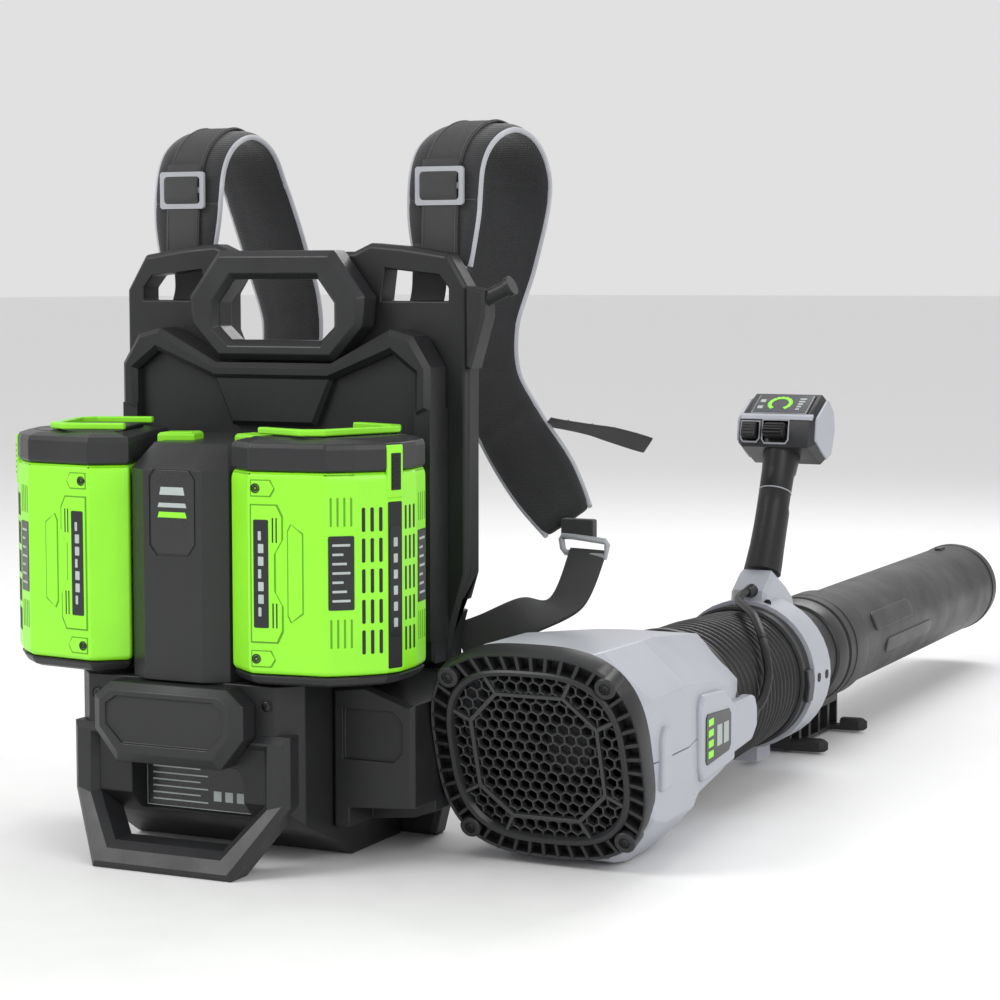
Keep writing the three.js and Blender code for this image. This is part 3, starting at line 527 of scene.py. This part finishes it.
RIM = [(100.6, 24), (101, 4), (99.6, 1.2), (97.6, 2.4), (97.6, 13), (85.5, 13), (85.5, 1.2), (84, -0.6),
       (80.6, 0.2), (78.6, 4), (78.6, 24)]
loft("grille_rim", [squircle_ring(h, y) for h, y in RIM + RIM[:1]], BLACK2, "carrier", caps=False,
     matrix=GR, smooth=30,
     slot="black_plastic", replaces=["intake_grille"])
CELL = 11.2
R = CELL / math.sqrt(3)
comb_v, comb_f = [], []
for row in range(-9, 10):
    for col in range(-8, 9):
        x, z = (col + 0.5 * (row % 2)) * CELL, row * R * 1.5
        if (abs(x) ** 3 + abs(z) ** 3) ** (1 / 3) > 80:
            continue
        at, six = len(comb_v), [pi / 6 + k * pi / 3 for k in range(6)]
        for rad, y in ((R, 4.6), (R - 1.05, 4.0), (R - 1.15, 8.6)):
            comb_v += [(x + rad * cos(a), y, z + rad * sin(a)) for a in six]
        for j in (0, 6):
            comb_f += [(at + j + k, at + j + (k + 1) % 6, at + j + 6 + (k + 1) % 6, at + j + 6 + k)
                       for k in range(6)]
# the honeycomb, octagon and spokes take the lightened black, painted light on their wall fronts
finish_mesh("grille_honeycomb", comb_v, comb_f, GRILLE_LIT_BLACK, "carrier", matrix=GR, smooth=20)
loft("grille_octagon", [oct_ring(62, 33, 2), oct_ring(62, 33, 9), oct_ring(58.6, 31.2, 9),
                        oct_ring(58.6, 31.2, 2), oct_ring(62, 33, 2)],
     GRILLE_LIT_BLACK, "carrier", caps=False, matrix=GR, bevel=0.6)
for k, (a, b) in enumerate(octo(60.5, 32.2)):
    p0 = Vector((a, b))
    p1 = squircle(80, math.atan2(b, a))
    t = (p1 - p0).normalized()
    nrm = Vector((-t.y, t.x)) * 1.7
    pts = [tuple(p0 + nrm), tuple(p1 + nrm), tuple(p1 - nrm), tuple(p0 - nrm)]
    prism(f"grille_spoke{k}", pts, 2, 9, GRILLE_LIT_BLACK, "carrier", plane="XZ", matrix=GR, bevel=0.6)
for k in range(44):
    a = 2 * pi * (k + 0.5) / 44
    if abs((a % (pi / 2)) - pi / 4) < radians(7):
        continue
    p0, p1 = squircle(84.6, a), squircle(99.4, a)
    t = (p1 - p0).normalized()
    nrm = Vector((-t.y, t.x)) * 1.7
    prism(f"grille_fin{k}", [tuple(p0 + nrm), tuple(p1 + nrm), tuple(p1 - nrm), tuple(p0 - nrm)], 1.4, 14,
          BLACK2, "carrier",
          plane="XZ", matrix=GR, bevel=0.6)
for a, b in ((75, 75), (-75, 75), (-75, -75), (75, -75)):
    tag = f"{'r' if a > 0 else 'l'}{'t' if b > 0 else 'b'}"
    ring = lambda rad, y: [(a + rad * cos(2 * pi * i / 24), y, b + rad * sin(2 * pi * i / 24))
                           for i in range(24)]
    loft(f"grille_boss_{tag}", [ring(10, 20), ring(10, -1.2), ring(8.8, -2.4), ring(5.4, -2.4),
                                ring(5.2, 0)], BLACK2, "carrier",
         matrix=GR, bevel=0.4)
    screw(f"grille_screw_{tag}", (a, -0.4, b), (0, -1, 0), 3.0, "carrier", matrix=GR)

SLOPE = -math.tan(radians(GRILLE_TILT))
RINGS = [(-18, 94, 94, 46, SLOPE), (-13, 97, 97, 45, SLOPE), (6, 99, 98.5, 42, 0.9 * SLOPE),
         (84, 98, 97, 40, 0.5 * SLOPE), (128, 89, 93, 42, 0.3 * SLOPE),
         (206, 86, 84, 42, 0), (262, 77, 77, 42, 0), (272, 75.5, 75.5, 42, 0)]


def half_ring(p, up):
    """Half of one of the housing's octagonal rings, from its split line over the top or under the bottom."""
    y, a, b, c, slope = p
    pts = [(a, SEAM_ROOM), (a, b - c), (a - c, b), (c - a, b), (-a, b - c), (-a, SEAM_ROOM)]
    return [(AXIS_X + x, y + slope * up * z, AXIS_Z + up * z) for x, z in pts]


for tag, up in (("upper", 1), ("lower", -1)):
    loft(f"housing_{tag}", [half_ring(p, up) for p in RINGS], GREY, "carrier", caps=False, closed=False,
         bevel=4.5, angle=9,
         segs=4, solid=2.6, smooth=35, slot="grey_plastic", replaces=[f"fan_housing_{tag}"])
prism("housing_pod", [(123, 131), (132, 141), (190, 137), (216, 120), (216, 66), (132, 59), (123, 71)],
      372, 394.4, GREY,
      "carrier", plane="YZ", bevel=4, angle=20, segs=4)
prism("housing_duct", [(206, 122), (222, 117), (292, 117), (299, 104), (299, 85), (284, 73), (214, 67),
                       (206, 67)], 372, 387.6, GREY,
      "carrier", plane="YZ", bevel=4, angle=20, segs=4)
prism("pod_badge", [(134, 118), (138, 122), (196, 119), (201, 114), (201, 84), (196, 79), (138, 74),
                    (134, 78)], 393.6, 395.4, PLATE,
      "carrier", plane="YZ", bevel=0.7)
for i in range(4):
    prism(f"pod_badge_bar{i}", [(139, 80 + 10 * i), (152, 80.6 + 10 * i), (152, 87 + 10 * i),
                                (139, 86.6 + 10 * i)], 395, 395.9, GREEN,
          "carrier", plane="YZ", bevel=0.2)
for i in range(2):
    prism(f"pod_badge_mark{i}", [(162 + 18 * i, 88), (175 + 18 * i, 88.6), (175 + 18 * i, 108),
                                 (162 + 18 * i, 108)], 395, 395.8, MARK,
          "carrier", plane="YZ", bevel=0.3)
prism("housing_boss", [(6, 74), (28, 76), (28, 128), (14, 132), (6, 122)], 392, 403.8, GREY, "carrier",
      plane="YZ", bevel=3, segs=3)
prism("housing_foot", [(252, 60), (348, 60), (340, 190), (260, 190)], 0, 22, GREY, "carrier", bevel=3,
      segs=3)
revolve("housing_collar", [(77.5, 262), (79, 264), (79, 273), (77.5, 275.5), (73, 275.5), (73, 262)],
        BLACK2, "carrier", bevel=0.6)

# ---------------------------------------------------------------- hose and tubes


def bellows(y0, y1, pitch=12.5):
    out = []
    n = max(1, round((y1 - y0) / pitch))
    for i in range(n * 8 + 1):
        y = y0 + (y1 - y0) * i / (n * 8)
        base = 76.5 - 4.5 * max(0, (y - 360) / 115)
        out.append((base - 6.0 + 5.8 * abs(cos(pi * i / 8)) ** 0.8, y))
    return out + [(y_r, y) for y_r, y in ((66, y1), (66, y0))]


ha = revolve("hose_rear_bellows", bellows(273, 350), RUBBER, "carrier", seg=72, smooth=60,
             slot="soft_rubber",
             replaces=["hose_rear"], parentless=True)
revolve("hose_middle_bellows", bellows(350, 400), RUBBER, "hose_link", seg=72, smooth=60,
        slot="soft_rubber", replaces=["hose_middle"])
hb = revolve("hose_front_bellows", bellows(400, 476), RUBBER, "tube", seg=72, smooth=60, slot="soft_rubber",
             replaces=["hose_front"], parentless=True)
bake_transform(ha)
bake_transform(hb)
revolve("clamp_ring_edge", [(74, 478), (76, 479), (76, 482), (74.5, 484), (74.5, 494), (76, 496),
                            (76, 500), (74, 501), (72, 501), (72, 478)],
        BLACK2, "tube", bevel=0.5)
revolve("mid_tube", [(53, 508), (62.4, 508), (62.4, 562), (60, 572), (54.5, 584), (54, 592), (54, 744),
                     (51, 744), (51, 592), (53, 570)],
        TUBE, "tube", slot="tube_plastic", replaces=["middle_tube"])
revolve("mid_tube_lock", [(54, 660), (57, 662), (60.5, 676), (60.5, 686), (54, 686)], BLACK2, "tube",
        bevel=0.6)
revolve("blow_tube", [(55, 688), (60, 688), (62, 691), (62, 704), (61, 706), (61, 712), (62, 714),
                      (62, 758), (60, 764), (58, 770), (58, 1350),
                      (57.6, 1366), (57, 1372), (54.5, 1372), (55.4, 1350), (55.4, 770), (54.6, 752)],
        TUBE, "tube", slot="tube_plastic", replaces=["outlet_tube"], bevel=0.5, angle=20)
revolve("blow_tube_lip", [(58, 1345), (59.2, 1347), (59.2, 1356), (58, 1358), (57, 1358), (57, 1345)],
        TUBE, "tube", bevel=0.5)


def curved_patch(name, rad, a0, a1, y0, y1, mat, h=0.8, n=16):
    """A rounded strip that lies on the tube, between two angles."""
    rows, m = [], 20
    for i in range(m + 1):
        t = i / m
        y = y0 + (y1 - y0) * t
        edge = min(t, 1 - t) * (y1 - y0)
        pull = 0 if edge > 6 else (6 - math.sqrt(max(0, 36 - (6 - edge) ** 2))) / rad
        rows.append([(AXIS_X + (rad + h) * cos(a), y, AXIS_Z + (rad + h) * sin(a))
                     for a in [a0 + pull + (a1 - a0 - 2 * pull) * k / n for k in range(n + 1)]])
    return loft(name, rows, mat, "tube", caps=False, closed=False, solid=1.2)


curved_patch("tube_panel_side", 58, radians(12), radians(34), 800, 960, BLACK2)
curved_patch("tube_panel_low", 58, radians(-20), radians(-2), 840, 1040, BLACK2)
prism("tube_tab", [(296, 1274), (304, 1274), (304, 1298), (296, 1298)], 158, 162, BLACK2, "tube", bevel=0.8)
for y in (516, 542):
    screw(f"ring_screw{y}", (380.2, y, 101), (1, 0, 0), 3.2, "tube")
for z in (168, 178):
    screw(f"bracket_screw{z}", (323, 511.6, z), (0, -1, 0.1), 2.6, "tube")

# ---------------------------------------------------------------- control handle
HL = Matrix.Translation((0.3, 0.56, 0.196)) @ Matrix.Rotation(radians(-HANDLE_LEAN), 4, "X")


def oval(rx, ry, z, y=0, n=40):
    return [(rx * cos(2 * pi * i / n), y + ry * sin(2 * pi * i / n), z) for i in range(n)]


grip_profile = [(20, 23, 8, -4), (19.6, 22.8, 18, -2.6), (18.6, 21.6, 36, -1), (18, 21, 60, 0),
                (17.8, 21.2, 80, 0), (17.4, 18.6, 85, -2.2),
                (17.4, 18.8, 100, -2.2), (16.8, 18.2, 101, -2.2), (16.8, 18.2, 103, -2.2),
                (17.6, 18.9, 104, -2.2), (18, 19, 122, -2.2),
                (18.6, 22, 127, 0), (19.4, 24, 138, 0), (20.4, 25, 145.5, 0)]
loft("grip_rubber", [oval(a, b, z, y) for a, b, z, y in grip_profile], RUBBER, "tube", matrix=HL, smooth=50,
     slot="soft_rubber", replaces=["control_grip"])
tube("grip_seam", oval(17.2, 18.6, 102, -2.2), 0.8, BUCKLE, "tube", seg=8, closed=True, matrix=HL)
for sx in (-1, 1):
    prism(f"head_cheek_{'l' if sx < 0 else 'r'}",
          [(-30, TOP + 33), (-24, TOP + 12), (2, TOP + 9), (22, TOP + 8), (33, TOP + 19),
                                                  (33, TOP + 48), (20, TOP + 65), (-3, TOP + 70),
                                                  (-29, TOP + 38)],
          *(sorted((sx * 42.6, sx * 46.4))), GREY, "tube", plane="YZ", matrix=HL, bevel=2.2, segs=4)
prism("display_band", [(-34.9, TOP + 32.5), (-34.6, TOP + 36.5), (-31.2, TOP + 41), (-29, TOP + 39),
                       (-31, TOP + 33)], -41, 41, GREY,
      "tube", plane="YZ", matrix=HL, bevel=0.8)
SC = HL @ Matrix.Translation((0, -0.0189, (TOP + 55.8) * MM)) @ Matrix.Rotation(radians(DISPLAY_TILT), 4,
        "X")
block("display_bezel", -31.5, 31.5, -18.6, 18.6, 0.8, 1.5, BUCKLE, "tube", matrix=SC, bevel=0.4)
block("display_lens", -30.6, 30.6, -17.8, 17.8, 1.3, 2.0, GLASS, "tube", matrix=SC, bevel=0.3)
for i in range(13):
    a = radians(225 - 22.5 * i)
    p, q = (9.5 * cos(a) - 3, 9.5 * sin(a)), (14 * cos(a) - 3, 14 * sin(a))
    t = Vector((-sin(a), cos(a))) * 2.2
    prism(f"gauge{i}", [(p[0] + t.x, p[1] + t.y), (q[0] + t.x, q[1] + t.y), (q[0] - t.x, q[1] - t.y),
                        (p[0] - t.x, p[1] - t.y)], 1.9, 2.3,
          GREEN, "tube", matrix=SC)
for i in range(5):
    block(f"charge{i}", 17.5, 25 - 0.8 * (4 - i), -12.5 + 5.2 * i, -9.4 + 5.2 * i, 1.9, 2.3, MARK, "tube",
          matrix=SC)
for i in range(2):
    block(f"sign{i}", -27, -21, -11 + 13 * i, -5 + 13 * i, 1.9, 2.3, MARK, "tube", matrix=SC, bevel=0.2)
rear = lambda z: -34.3 + 7 * max(0, TOP + 30 - z) / 27
for tag, x0, x1, z0, z1 in (("boost", -39.4, -18.2, TOP + 8, TOP + 30),
                            ("cruise", -15, 15, TOP + 7, TOP + 32)):
    o = [(x0 + 3, z0), (x1 - 3, z0), (x1, z0 + 4), (x1, z1), (x0, z1), (x0, z0 + 4)]
    tube(f"{tag}_frame", [(a, rear(b), b) for a, b in o], 1.1, BUCKLE, "tube", seg=8, closed=True,
         matrix=HL)
for i, y_ in enumerate((-42.2, -42.4, -40.2, -38.0)):
    block(f"cruise_step{i}", -11, 11, y_ - 1.4, y_ + 1.5, TOP + 14 + 3.6 * i, TOP + 15.8 + 3.6 * i,
          RUBBER, "cruise", matrix=HL, bevel=0.4)
    block(f"boost_rib{i}", -35, -22.5, -40.8, -39.5, TOP + 13 + 3.4 * i, TOP + 14.5 + 3.4 * i, RUBBER,
          "boost", matrix=HL, bevel=0.4)

# ---------------------------------------------------------------- lead
LEAD_A = [(380, 303, 96), (384, 322, 107), (382, 345, 127), (373, 362, 148), (365.6, 374.4, 158.4)]
LEAD_B = [(365.1, 375, 159), (359, 385, 166), (343, 410, 178), (323, 438, 183.5), (308, 462, 186),
          (304, 485, 190), (304, 511.6, 190)]
la = tube("lead_rear", spline(LEAD_A, 40), 4.4, RUBBER, "carrier", seg=14, slot="soft_rubber",
          replaces=["control_lead_rear"], parentless=True)
lb = tube("lead_front", spline(LEAD_B, 60), 4.4, RUBBER, "tube", seg=14, slot="soft_rubber",
          replaces=["control_lead_front"],
          parentless=True)
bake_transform(la)
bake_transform(lb)
tube("lead_gland_rear", [(378, 292, 93), (380, 301, 95), (381, 309, 99)], lambda t: 7.5 - 2.2 * t, RUBBER,
     "carrier", seg=16)
tube("lead_gland_front", [(304, 514, 190), (304, 506, 190), (304, 498, 190)], lambda t: 7.5 - 2.4 * t,
     RUBBER, "tube", seg=16)

# ---------------------------------------------------------------- harness
ROUTE = [(141, 103, 534, 28), (141, 104, 580, 36), (141, 112, 628, 37), (143, 138, 654, 37),
         (146, 180, 664, 37), (149, 222, 650, 37),
         (148, 248, 612, 37), (130, 258, 545, 36), (112, 258, 480, 34), (118, 252, 420, 33),
         (150, 240, 370, 34), (190, 224, 325, 34),
         (224, 206, 288, 26)]


def ribbon_frames(points, n):
    pts = spline(points, n)
    out = []
    for i, p in enumerate(pts):
        a, b = Vector(pts[max(i - 1, 0)][:3]), Vector(pts[min(i + 1, n)][:3])
        t = (b - a).normalized()
        w = Vector(p[4:7]) if len(p) > 4 else Vector((1, 0, 0))
        across = (w - t * w.dot(t)).normalized()
        out.append((Vector(p[:3]), t, across, t.cross(across), p[3]))
    return out


def ribbon(name, points, thick, mat, body, n=60, lift=0.0, seg=6, **kw):
    """A flat strap with rounded edges; lift moves it off its line along its face."""
    rings, uvs = [], []
    run = 0
    prev = None
    fr = ribbon_frames(points, n)
    for c, t, ac, fc, half in fr:
        run += (c - prev).length if prev else 0
        prev = c
        sec = []
        for k in range(4 * seg):
            a = 2 * pi * k / (4 * seg)
            x = abs(cos(a)) ** 0.35 * (1 if cos(a) > 0 else -1)
            y = abs(sin(a)) ** 0.8 * (1 if sin(a) > 0 else -1)
            p = c + ac * (half * x) + fc * (thick / 2 * y + lift)
            sec.append(tuple(p))
            uvs.append((x * half / 20, run / 20))
        rings.append(sec)
    return loft(name, rings, mat, body, uvs=uvs, smooth=55, **kw)


def pad_strap(name, points, thick, mat, body, n=110, **kw):
    """A foam strap: crowned across, pinched at its seams and softly creased along its length."""
    fr = ribbon_frames(points, n)
    rings = []
    for i, (c, t, ac, fc, half) in enumerate(fr):
        u = i / n
        end = min(1, min(u, 1 - u) / 0.02)
        seam = min(abs(u - q) for q in (0.11, 0.5, 0.66, 0.82))
        pinch = 1 - 0.28 * math.exp(-(seam / 0.006) ** 2)
        soft = 1 + 0.035 * sin(37 * u + 1.3) + 0.02 * sin(91 * u)
        sec = []
        m = 36
        for k in range(m):
            a = 2 * pi * k / m
            x = abs(cos(a)) ** 0.5 * (1 if cos(a) > 0 else -1)
            y = abs(sin(a)) ** 0.9 * (1 if sin(a) > 0 else -1)
            chan = 1 - 0.22 * math.exp(-((abs(x) - 0.62) / 0.05) ** 2)
            p = c + ac * (half * x * (0.86 + 0.14 * end ** 0.5)) + fc * (thick / 2 * y * pinch * soft
                    * chan * (0.35 + 0.65 * end ** 0.5))
            sec.append(tuple(p))
        rings.append(sec)
    return loft(name, rings, mat, body, smooth=70, **kw), fr


LOWER = [(250, 196, 262, 19, 1, 0, 0), (246, 152, 216, 19, 1, 0, 0), (220, 114, 206, 19, 0.7, 0, -0.7),
         (188, 99, 190, 19, 0.4, 0, -0.9), (161, 98, 180, 19, 0.3, 0, -1)]
for s, tag in ((-1, "left"), (1, "right")):
    pts = [(s * x, y, z, w) for x, y, z, w in ROUTE]
    pad, fr = pad_strap(f"shoulder_pad_{tag}", pts, 15, CLOTH, "carrier", slot="padded_fabric",
                        replaces=[f"shoulder_strap_{tag}"])
    for e in (-1, 1):
        tube(f"piping_{tag}_{'in' if e < 0 else 'out'}",
             [tuple(c + ac * (e * (half - 0.3))) for c, t, ac, fc, half in fr], 2.7, PIPING,
             "carrier", seg=10)
    top = [(s * x, y, z, 19) for x, y, z, w in ROUTE[:9]]
    up = 1 if ribbon_frames(top, 40)[20][3].z > 0 else -1
    ribbon(f"load_webbing_{tag}", top, 2.2, WEB, "carrier", n=80, lift=up * 8.8, slot="webbing")
    for e in (-1, 1):
        tube(f"web_stitch_{tag}_{'in' if e < 0 else 'out'}",
             [tuple(c + ac * (e * 16.5) + fc * (up * 10.1)) for c, t, ac, fc,
              half in ribbon_frames(top, 80)], 0.5, THREAD, "carrier", seg=6)
    for j, q in enumerate((12, 55, 73, 90)):
        c, t, ac, fc, half = fr[q]
        row = [tuple(c + ac * (half * v / 10 * 0.92) + fc * (up * 5.9 * math.sqrt(max(0.05,
                1 - (v / 10.6) ** 4)))) for v in range(-10, 11)]
        tube(f"cross_stitch_{tag}_{j}", row, 0.6, THREAD, "carrier", seg=6)
    lw = [(s * p[0], p[1], p[2], p[3], p[4], s * p[5], s * p[6]) for p in LOWER]
    for k in range(2):
        ribbon(f"lower_webbing_{tag}_{k}", lw, 1.9, WEB, "carrier", n=50, lift=-1.2 + 2.6 * k,
               slot="webbing",
               replaces=[f"lower_webbing_{tag}"] if k == 0 else ())
    # ladder-lock: a moulded frame with two windows and its centre bar
    x0 = s * 141
    rect = lambda hx, hz, y: [(x0 + a, y, 609 + b) for a, b in
                              [(hx, hz - 2), (hx - 2, hz), (2 - hx, hz), (-hx, hz - 2), (-hx, 2 - hz),
                               (2 - hx, -hz), (hx - 2, -hz),
                               (hx, 2 - hz)]]
    loft(f"ladder_frame_{tag}", [rect(25, 18, 93.2), rect(25, 18, 97.4), rect(20, 13, 97.4),
                                 rect(20, 13, 93.2), rect(25, 18, 93.2)],
         BUCKLE, "carrier", caps=False, bevel=0.9, segs=3, replaces=[f"ladder_lock_{tag}"])
    block(f"ladder_bar_{tag}", x0 - 20.5, x0 + 20.5, 93.6, 96.6, 606, 612, BUCKLE, "carrier", bevel=1.2,
          segs=3)
    ribbon(f"buckle_webbing_{tag}", [(x0, 95.5, 585, 19), (x0, 94.6, 595, 19), (x0, 92.2, 602, 19),
                                     (x0, 92.0, 616, 19), (x0, 94.6, 623, 19),
                                     (x0, 99, 634, 19)], 2.0, WEB, "carrier", n=30, slot="webbing")
    ribbon(f"slot_webbing_{tag}", [(s * 132, 98, 556, 18), (s * 132, 92.6, 540, 18),
                                   (s * 131, 92.5, 515, 18), (s * 131, 88, 502, 18)], 2.2,
           WEB, "carrier", n=24, slot="webbing")
    # loop buckle at the pad's lower end
    cx_, cy_, cz_ = s * 247, 193, 268
    tube(f"loop_buckle_{tag}", [(cx_ + s * a, cy_ + b, cz_ + c) for a, b, c in
                                ((-23, 1, 8), (23, -3, 4), (25, -3, 1), (23, -2, -11), (-21, 3, -9),
                                 (-24, 3, -5), (-25, 2, 4))], 3.0,
         BUCKLE, "carrier", seg=12, closed=True)
    block(f"pad_anchor_{tag}", *(sorted((s * 222, s * 256))), 192, 204, 272, 292, WEB, "carrier", bevel=2)
ribbon("sternum_tail", [(186, 242, 382, 19), (230, 270, 372, 19), (272, 294, 358, 19)], 2.2, WEB,
       "carrier", n=40, slot="webbing",
       replaces=["sternum_strap"])
for j in range(4):
    c, t, ac, fc, half = ribbon_frames([(186, 242, 382, 19), (230, 270, 372, 19), (272, 294, 358, 19)],
                                       40)[8 + 8 * j]
    tube(f"sternum_stitch{j}", [tuple(c - ac * 17 - fc * 1.3), tuple(c + ac * 17 - fc * 1.3)], 0.6,
         THREAD, "carrier", seg=6)


def cushion(name, outline, y0, depth, body, node):
    """A crowned pad with rounded corners, swollen by a short cloth simulation."""
    bmc = bmesh.new()
    me_c = bpy.data.meshes.new(name)
    k = len(outline)
    cx0, cz0 = sum(p[0] for p in outline) / k, sum(p[1] for p in outline) / k
    rings = []
    for d, y in ((0, y0 + 2), (0, y0 + depth * 0.55), (7, y0 + depth * 0.8), (16, y0 + depth * 0.95)):
        rings.append([(p[0] + (cx0 - p[0]) * d / 100, y, p[1] + (cz0 - p[1]) * d / 100) for p in outline])
    vs = [[bmc.verts.new(tuple(c * MM for c in p)) for p in r] for r in rings]
    for i in range(3):
        for j in range(k):
            bmc.faces.new((vs[i][j], vs[i][(j + 1) % k], vs[i + 1][(j + 1) % k], vs[i + 1][j]))
    bmc.faces.new(vs[0][::-1])
    bmc.faces.new(vs[-1])
    bmesh.ops.recalc_face_normals(bmc, faces=bmc.faces)
    bmc.to_mesh(me_c)
    bmc.free()
    ob = bpy.data.objects.new(name, me_c)
    bpy.context.scene.collection.objects.link(ob)
    bpy.context.view_layer.objects.active = ob
    r = ob.modifiers.new("voxels", "REMESH")
    r.mode, r.voxel_size = "VOXEL", VOXEL
    dg = bpy.context.evaluated_depsgraph_get()
    me2 = bpy.data.meshes.new_from_object(ob.evaluated_get(dg))
    ob.modifiers.clear()
    ob.data = me2
    rest = [v.co.copy() for v in ob.data.vertices]
    vg = ob.vertex_groups.new(name="pin")
    back = [i for i, c in enumerate(rest) if c.y < (y0 + 4) * MM]
    vg.add(back, 1.0, "REPLACE")
    cl = ob.modifiers.new("cloth", "CLOTH")
    cl.settings.use_pressure, cl.settings.uniform_pressure_force = True, CLOTH_PRESSURE
    cl.settings.effector_weights.gravity = 0
    cl.settings.vertex_group_mass = "pin"
    cl.point_cache.frame_start, cl.point_cache.frame_end = 1, CLOTH_FRAMES
    for fr_ in range(1, CLOTH_FRAMES + 1):
        bpy.context.scene.frame_set(fr_)
    dg = bpy.context.evaluated_depsgraph_get()
    me3 = bpy.data.meshes.new_from_object(ob.evaluated_get(dg))
    ob.modifiers.clear()
    for v, c in zip(me3.vertices, rest):
        d = v.co - c
        if d.length > MOST_SWELL:
            v.co = c + d.normalized() * MOST_SWELL
    ob.data = me3
    bpy.context.scene.frame_set(1)
    for v in ob.data.vertices:  # sewn channels, after the swelling
        for zc in (outline[0][1] - 60, outline[0][1] - 120):
            if v.co.y > (y0 + 8) * MM:
                v.co.y -= 0.004 * math.exp(-((v.co.z - zc * MM) / 0.004) ** 2)
    ob.data.materials.clear()
    ob.data.materials.append(CLOTH)
    ob.data.polygons.foreach_set("use_smooth", [True] * len(ob.data.polygons))
    ob.modifiers.new("subdivide", "SUBSURF").levels = 1
    ob.modifiers["subdivide"].render_levels = 1
    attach(ob, body)
    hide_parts(node)
    return ob


mirror = lambda half: half + [(-x, z) for x, z in reversed(half)]
cushion("back_cushion", mirror([(40, 464), (88, 446), (92, 302), (58, 290)]), 90.3, 24, "carrier",
        "back_pad")
cushion("lumbar_cushion", mirror([(78, 256), (127, 242), (135, 132), (98, 100)]), 90.3, 24, "carrier",
        "lumbar_pad")

# ---------------------------------------------------------------- floor and light
me = bpy.data.meshes.new("floor")
me.from_pydata([(-50, -12, 0), (50, -12, 0), (50, 90, 0), (-50, 90, 0)], [], [(0, 1, 2, 3)])
floor = bpy.data.objects.new("floor", me)
bpy.context.scene.collection.objects.link(floor)
floor.location.z = -0.0005
fm = node_material("floor_paper", (0.86, 0.86, 0.86), 0.75, grain=60, bump=0.0, vary=0.01)
me.materials.append(fm)
world = bpy.data.worlds.new("studio")
bpy.context.scene.world = world
world.use_nodes = True
world.node_tree.nodes["Background"].inputs[0].default_value = (1, 1, 1, 1)
world.node_tree.nodes["Background"].inputs[1].default_value = 0.75


def area_light(name, at, to, size, power):
    d = bpy.data.lights.new(name, "AREA")
    d.shape, d.size, d.energy = "SQUARE", size, power
    o = bpy.data.objects.new(name, d)
    bpy.context.scene.collection.objects.link(o)
    o.location = at
    o.rotation_euler = (Vector(to) - Vector(at)).to_track_quat("-Z", "Y").to_euler()


area_light("key", (-1.6, -2.2, 2.6), (0.1, 0.1, 0.3), 1.6, 55)
area_light("fill", (2.6, -1.2, 1.6), (0.1, 0.2, 0.3), 1.8, 28)
area_light("rim", (0.2, 2.6, 2.4), (0.1, 0.2, 0.3), 1.6, 40)
bpy.context.scene.view_settings.view_transform = "Standard"
